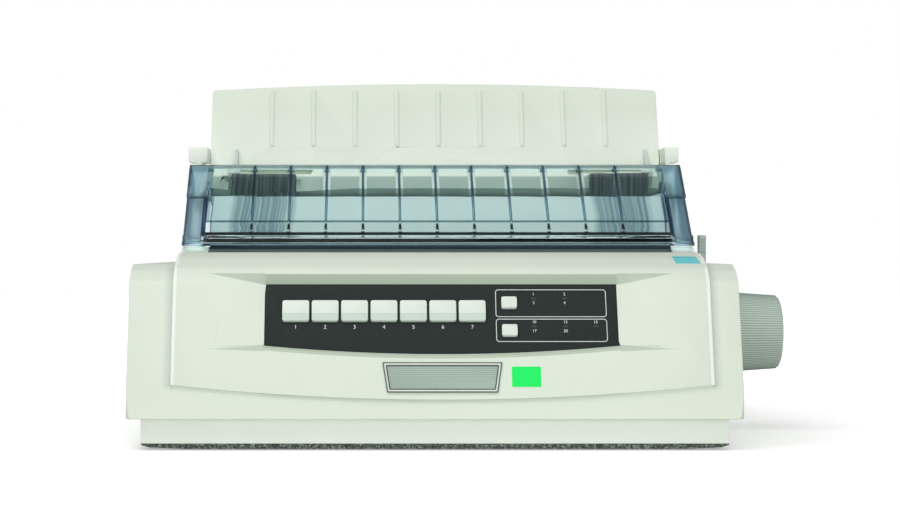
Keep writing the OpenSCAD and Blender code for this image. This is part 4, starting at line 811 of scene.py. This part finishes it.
print("mechanism pieces dressed:", len(inside))

# %% [markdown]
# The white print on the panel is a film of ink a few hundredths thick. The words that such a panel
# carries are left off; plain numbers count the keys and the lamps instead.
# Text is turned to mesh before it is placed, because a piece's object has to stay at the origin.
# %% Printed numbers
ink = moulded("panel_ink", srgb(226, 232, 226), clouds=0.03, grain=0.3, depth=0.05, gloss=0.6)
INK = 0.03
PANEL_FOOT = -4.1


def on_panel(x, up):
    """The place of a print at x across and up the panel, in millimetres."""
    return panel_plane @ Matrix.Translation((x * MM, (up - PANEL_FOOT) * MM, INK * MM))


def spent(holder):
    """The plain mesh that an object makes; the object is removed."""
    mesh = plain_mesh(holder)
    bpy.data.objects.remove(holder)
    return mesh


def printed_number(text, x, up, height):
    """A number centred at x across and up the panel, height tall, all in millimetres."""
    curve = bpy.data.curves.new("digits", "FONT")
    curve.body = text
    curve.size = height / 0.7 * MM
    curve.align_x = "CENTER"
    curve.align_y = "CENTER"
    curve.extrude = INK * MM
    mesh = spent(linked("digits", curve))
    mesh.transform(on_panel(x, up))
    return mesh


def joined(name, meshes, material, body):
    """One piece from several meshes, riding on a body."""
    shape = bmesh.new()
    for mesh in meshes:
        shape.from_mesh(mesh)
        bpy.data.meshes.remove(mesh)
    bmesh.ops.recalc_face_normals(shape, faces=shape.faces)
    return finished(linked(name, mesh_of(shape, name)), material, body)


KEY_NUMBER_UP = 13.8
LAMP_COLUMNS = (57.4, 75.3, 92.7)
numbers = []
for i in range(1, 8):
    low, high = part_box(f"menu_key_{i}")
    numbers.append(printed_number(str(i), ((low.x + high.x) / 2 - case_x) / MM, KEY_NUMBER_UP, 2.3))
for row_up, row in {34.2: ("1", "2"), 28.8: ("3", "4"), 16.9: ("10", "12", "15"), 11.4: ("17", "20")}.items():
    for text, x in zip(row, LAMP_COLUMNS):
        numbers.append(printed_number(text, x, row_up, 1.7))
printed = len(numbers)
joined("panel_numbers", numbers, ink, "chassis")
print("numbers printed:", printed)

# %% [markdown]
# Each small key and its lamps are ringed by a fine white line with round corners. A ring follows a path, so it is
# made by Geometry Nodes: a four-sided path is filleted and a small square profile is swept along it.
# %% Outline tree


def made_real(tree, geometry, given, end):
    """Ends a tree: copies are made real and take the given material."""
    real = node(tree, "GeometryNodeRealizeInstances", Geometry=geometry).outputs["Geometry"]
    paint = node(tree, "GeometryNodeSetMaterial", Geometry=real, Material=given["Material"])
    fill(tree, end, Geometry=paint.outputs["Geometry"])
    return tree


def build_outline_tree():
    tree, given, end = new_group(
        "printed outline", "GeometryNodeTree",
        (("Geometry", "Geometry"), ("Width", "Float", 0.06), ("Top width", "Float", 0.06),
         ("Height", "Float", 0.015), ("Corner", "Float", 0.002), ("Line", "Float", 0.0004),
         ("Material", "Material")), (("Geometry", "Geometry"),))
    outline = node(tree, "GeometryNodeCurvePrimitiveQuadrilateral", mode="TRAPEZOID", Bottom_Width=given["Width"],
                   Top_Width=given["Top width"], Height=given["Height"], Offset=0).outputs["Curve"]
    rounded = node(tree, "GeometryNodeFilletCurve", mode="POLY", Curve=outline, Radius=given["Corner"],
                   Count=8).outputs["Curve"]
    profile = node(tree, "GeometryNodeCurvePrimitiveQuadrilateral", Width=given["Line"],
                   Height=2 * INK * MM).outputs["Curve"]
    sweep = node(tree, "GeometryNodeCurveToMesh", Curve=rounded, Profile_Curve=profile).outputs["Mesh"]
    return made_real(tree, sweep, given, end)


def grown_mesh(tree, **values):
    """Runs a Geometry Nodes tree on an empty mesh and returns the plain mesh that it makes."""
    holder = linked("holder", bpy.data.meshes.new("holder"))
    modifier = holder.modifiers.new("grow", "NODES")
    modifier.node_group = tree
    wanted = {name.replace("_", " "): value for name, value in values.items()}
    for item in tree.interface.items_tree:
        if item.in_out == "INPUT" and item.name in wanted:
            modifier[item.identifier] = wanted[item.name]
    return spent(holder)


outline_tree = build_outline_tree()
RING_WIDTH, RING_MIDDLE = 63.4 * MM, 67.3
RING_LEVELS = ((20.2, 37.0), (4.9, 18.7))
rings = []
for low_up, high_up in RING_LEVELS:
    ring = grown_mesh(outline_tree, Width=RING_WIDTH, Top_width=RING_WIDTH, Height=(high_up - low_up) * MM,
                      Corner=1.6 * MM, Line=0.45 * MM, Material=ink)
    ring.transform(on_panel(RING_MIDDLE, (low_up + high_up) / 2))
    rings.append(ring)
joined("panel_rings", rings, ink, "chassis")
print("rings:", len(RING_LEVELS))

# %% [markdown]
# The bezel carries a framed plate and two small coloured tiles. On the real case these hold marks, so here they
# stay bare: the plate keeps its satin metal look and its raised rim, and the tiles keep their colours.
# %% Plates and tiles
plate_satin = metal("plate_satin", srgb(160, 180, 166), gloss=0.42, depth=0.3, metallic=0.3,
                    stretch=(2600, 500, 500))
dress("nameplate", plate_satin, 0.15)
lens_green = moulded("lamp_window", srgb(58, 72, 66), clouds=0.02, grain=0.3, depth=0.02, gloss=0.12)
dress("indicator_lenses", lens_green, 0.0)


def block(size, centre):
    """A box as a bmesh."""
    shape = bmesh.new()
    bmesh.ops.create_cube(shape, size=1)
    bmesh.ops.scale(shape, vec=size, verts=shape.verts)
    bmesh.ops.translate(shape, vec=centre, verts=shape.verts)
    return shape


def tile(name, matrix, width, height, thickness, material):
    """A thin tile with round corners, its back on the plane of the matrix; sizes in millimetres."""
    shape = block((width * MM, height * MM, thickness * MM), (0, 0, thickness / 2 * MM))
    upright = [e for e in shape.edges if abs(e.verts[0].co.z - e.verts[1].co.z) > thickness / 2 * MM]
    bmesh.ops.bevel(shape, geom=upright, offset=0.5 * MM, segments=4, affect="EDGES", profile=0.5)
    mesh = mesh_of(shape, name)
    mesh.transform(matrix)
    return joined(name, [mesh], material, "chassis")


TILE_GRAIN = {"clouds": 0.02, "grain": 0.3, "depth": 0.02, "gloss": 0.25}
tile_green = moulded("tile_green", srgb(16, 250, 104), **TILE_GRAIN)
tile_teal = moulded("tile_teal", srgb(104, 210, 220), **TILE_GRAIN)
tile("green_tile", bezel_plane @ Matrix.Translation((52 * MM, 9.5 * MM, -0.6 * MM)), 16.5, 11.8, 0.25, tile_green)
print("tiles: 1")

# %% [markdown]
# The plate is edged by a bright rim between two dark lines that follow its trapezoid. The lines are swept along
# the trapezoid by the outline tree that made the panel's rings, and fine level lines are brushed into the field.
# %% Plate edging
edge_dark = moulded("edge_line", srgb(74, 88, 80), clouds=0.02, grain=0.3, depth=0.05, gloss=0.5)
rim_bright = metal("rim_bright", srgb(226, 232, 224), gloss=0.3, metallic=0.2)
PLATE_LOW, PLATE_TOP, PLATE_HIGH = 31.5, 34.2, 17.8
plate_x = middle_x("nameplate") - case_x


def plate_frame(inset, line, rise, material):
    """A thin trapezoid line, inset from the plate's edge, on the plate's rim."""
    height = PLATE_HIGH - 2 * inset
    lean = (PLATE_TOP - PLATE_LOW) / PLATE_HIGH * inset
    frame_line = grown_mesh(outline_tree, Width=2 * (PLATE_LOW - inset + lean) * MM,
                            Top_width=2 * (PLATE_TOP - inset - lean) * MM, Height=height * MM, Corner=0.5 * MM,
                            Line=line * MM, Material=material)
    frame_line.transform(bezel_plane @ Matrix.Translation((plate_x, PLATE_HIGH / 2 * MM, rise * MM)))
    return frame_line


tree = plate_satin.node_tree
from_line = repeated(tree, axis_of(tree, own_place(tree), "Z"), 0.0, 1.15 * MM)
brushed = falling(tree, from_line, 0.12 * MM, 0.3 * MM)
fill(tree, tree.nodes["Principled BSDF"],
     Base_Color=painted(tree, srgb(156, 177, 163), brushed, srgb(176, 194, 181)))
joined("plate_lines", [plate_frame(0.35, 0.5, 0.42, edge_dark), plate_frame(2.0, 0.6, 0.42, edge_dark)],
       edge_dark, "chassis")
joined("plate_rim", [plate_frame(1.15, 0.9, 0.42, rim_bright)], rim_bright, "chassis")
print("plate edged")

# %% [markdown]
# A thin printed tile can also lie on a face that isn't flat. Here a grid of rays is cast from the front on the bezel,
# and each one that lands becomes a corner of the tile, so the tile hugs the shoulder's curve.
# %% Tile on the shoulder


def laid_tile(name, carrier, corners, steps, thickness, material):
    """A tile on a node, seen from the front; corners are (x, z) in millimetres from the case's middle."""
    source = merged_copy(carrier)
    tree = BVHTree.FromPolygons([v.co for v in source.data.vertices], [p.vertices for p in source.data.polygons])
    bpy.data.objects.remove(source)
    low_left, low_right, high_right, high_left = [Vector(c) for c in corners]
    rows = []
    for j in range(steps + 1):
        left, right = low_left.lerp(high_left, j / steps), low_right.lerp(high_right, j / steps)
        row = []
        for i in range(steps + 1):
            spot = left.lerp(right, i / steps)
            hit, out, _, _ = tree.ray_cast(at(spot.x, -100, spot.y), Vector((0, 1, 0)))
            if hit is None:
                raise ValueError("no carrier behind (%.1f, %.1f)" % tuple(spot))
            row.append((hit, out))
        rows.append(row)
    flat = [pair for row in rows for pair in row]
    count = len(flat)
    verts = [h + n * thickness * MM for h, n in flat] + [h - n * 0.05 * MM for h, n in flat]
    wide = steps + 1
    faces = []
    for j in range(steps):
        for i in range(steps):
            a = j * wide + i
            faces.append((a, a + 1, a + wide + 1, a + wide))
            faces.append((a + count + wide, a + count + wide + 1, a + count + 1, a + count))
    rim = (list(range(wide)) + [j * wide + steps for j in range(1, wide)]
           + [steps * wide + i for i in range(steps - 1, -1, -1)] + [j * wide for j in range(steps - 1, 0, -1)])
    for a, b in zip(rim, rim[1:] + rim[:1]):
        faces.append((a, a + count, b + count, b))
    mesh = bpy.data.meshes.new(name)
    mesh.from_pydata(verts, [], faces)
    return joined(name, [mesh], material, "chassis")


laid_tile("teal_tile", "front_bezel", [(141.3, 105.9), (155.6, 105.9), (154.3, 109.9), (140.3, 109.9)], 8, 0.15,
          tile_teal)
print("teal tile laid")

# %% [markdown]
# Behind the hood's turned-down lip runs a pale sealing strip. It closes the gap to the case, and it is what makes
# the lip look grey rather than black.
# %% Sealing strip
strip_low, strip_high = at(-133.3, 84.2, 111.2), at(143.8, 84.9, 117.4)
lip_strip = block(strip_high - strip_low, (strip_low + strip_high) / 2)
bmesh.ops.bevel(lip_strip, geom=lip_strip.edges[:], offset=0.2 * MM, segments=2, affect="EDGES", profile=0.5)
strip_mesh = mesh_of(lip_strip, "lip_seal")
joined("lip_seal", [strip_mesh], shell, body_of["hood"])
print("seal %.0f mm long" % ((strip_high.x - strip_low.x) / MM))

# %% [markdown]
# The two slots that the sheet guides run in get a channel behind them, as on a real separator, so that the
# room behind is not seen through it. Each channel is a bent strip, drawn square to the separator's face and
# then leaned back with it.
# %% Slot channels
LEAN = math.radians(22)
FACE_DEPTH, FACE_HEIGHT = 182, 146
SLOTS = ((-126.0, -70.0), (89.5, 146.0))
CHANNEL = [(2.45, 16.3), (7.6, 16.3), (7.6, 27.1), (2.45, 27.1),
           (2.45, 26.2), (6.8, 26.2), (6.8, 17.1), (2.45, 17.1)]
CHANNEL_END = ((0, 1, 6, 7), (1, 2, 5, 6), (2, 3, 4, 5))


def leaned(x, out, up):
    """A point that lies out behind and up along the separator's face."""
    return at(x, FACE_DEPTH + out * math.cos(LEAN) + up * math.sin(LEAN),
              FACE_HEIGHT - out * math.sin(LEAN) + up * math.cos(LEAN))


channels = []
for ends in SLOTS:
    channel = bmesh.new()
    rows = [[channel.verts.new(leaned(x, *corner)) for corner in CHANNEL] for x in ends]
    for i in range(len(CHANNEL)):
        after = (i + 1) % len(CHANNEL)
        channel.faces.new([rows[0][i], rows[1][i], rows[1][after], rows[0][after]])
    for row in rows:
        for quad in CHANNEL_END:
            channel.faces.new([row[i] for i in quad])
    bmesh.ops.recalc_face_normals(channel, faces=channel.faces)
    channels.append(mesh_of(channel, "slot_channel"))
joined("slot_channels", channels, shell, body_of["separator"])
print("slot channels:", len(SLOTS))

# %% [markdown]
# The socket for the computer's cable has two rows of gilt contacts. Three dozen small blades of one shape are
# what instancing is for: a line of points carries one blade each, and the copies are made real at the end.
# %% Contact row tree


def build_contact_tree():
    tree, given, end = new_group(
        "contact row", "GeometryNodeTree",
        (("Geometry", "Geometry"), ("Count", "Int", 18), ("Pitch", "Float", 0.0018),
         ("Blade", "Vector", (0.0009, 0.005, 0.0004)), ("Material", "Material")), (("Geometry", "Geometry"),))
    offset = node(tree, "ShaderNodeCombineXYZ", X=given["Pitch"]).outputs["Vector"]
    line = node(tree, "GeometryNodeMeshLine", mode="OFFSET", Count=given["Count"], Offset=offset).outputs["Mesh"]
    blade = node(tree, "GeometryNodeMeshCube", Size=given["Blade"]).outputs["Mesh"]
    row = node(tree, "GeometryNodeInstanceOnPoints", Points=line, Instance=blade).outputs["Instances"]
    return made_real(tree, row, given, end)


contact_tree = build_contact_tree()
ports_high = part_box("interface_ports")[1]
PIN_COUNT, PIN_PITCH = 18, 1.8
rows = []
for side in (-1, 1):
    row = grown_mesh(contact_tree, Count=PIN_COUNT, Pitch=PIN_PITCH * MM, Blade=(0.9 * MM, 5 * MM, 0.35 * MM),
                     Material=copper)
    first = at(51 - (PIN_COUNT - 1) * PIN_PITCH / 2, 0, 0).x
    row.transform(Matrix.Translation((first, ports_high.y - 6.9 * MM, ports_high.z + (side * 1.15 - 6) * MM)))
    rows.append(row)
joined("port_contacts", rows, copper, body_of["interface_ports"])
print("contacts:", 2 * PIN_COUNT)

# %% [markdown]
# The inked ribbon is what a person sees first when the hood is up: a dull black band from one arm of the
# cartridge, across the head's nose and back to the other arm.
# %% Ribbon
ribbon_cloth = moulded("ribbon_cloth", srgb(26, 26, 30), clouds=0.1, grain=0.35, depth=0.4, gloss=0.8, specular=0.15)
cartridge_low, cartridge_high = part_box("ribbon_cartridge")
head_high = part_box("print_head")[1]


def build_ribbon():
    middle = middle_x("ribbon_cartridge")
    nose, arm = head_high.y + 0.25 * MM, cartridge_high.y - 5 * MM
    half_path = [(6 * MM, nose), (22 * MM, arm + 2.2 * MM), (26 * MM, arm)]
    path = [(-x, y) for x, y in reversed(half_path)] + half_path
    levels = cartridge_low.z + 0.5 * MM, cartridge_low.z + 12.5 * MM
    verts = [(middle + x, y, z) for x, y in path for z in levels]
    faces = [(2 * i, 2 * i + 2, 2 * i + 3, 2 * i + 1) for i in range(len(path) - 1)]
    mesh = bpy.data.meshes.new("ink_ribbon")
    mesh.from_pydata(verts, [], faces)
    piece = linked("ink_ribbon", mesh)
    wall = piece.modifiers.new("wall", "SOLIDIFY")
    wall.thickness = 0.12 * MM
    wall.offset = 0
    baked(piece)
    finished(piece, ribbon_cloth, "carriage")


build_ribbon()
print("ribbon height 12 mm")
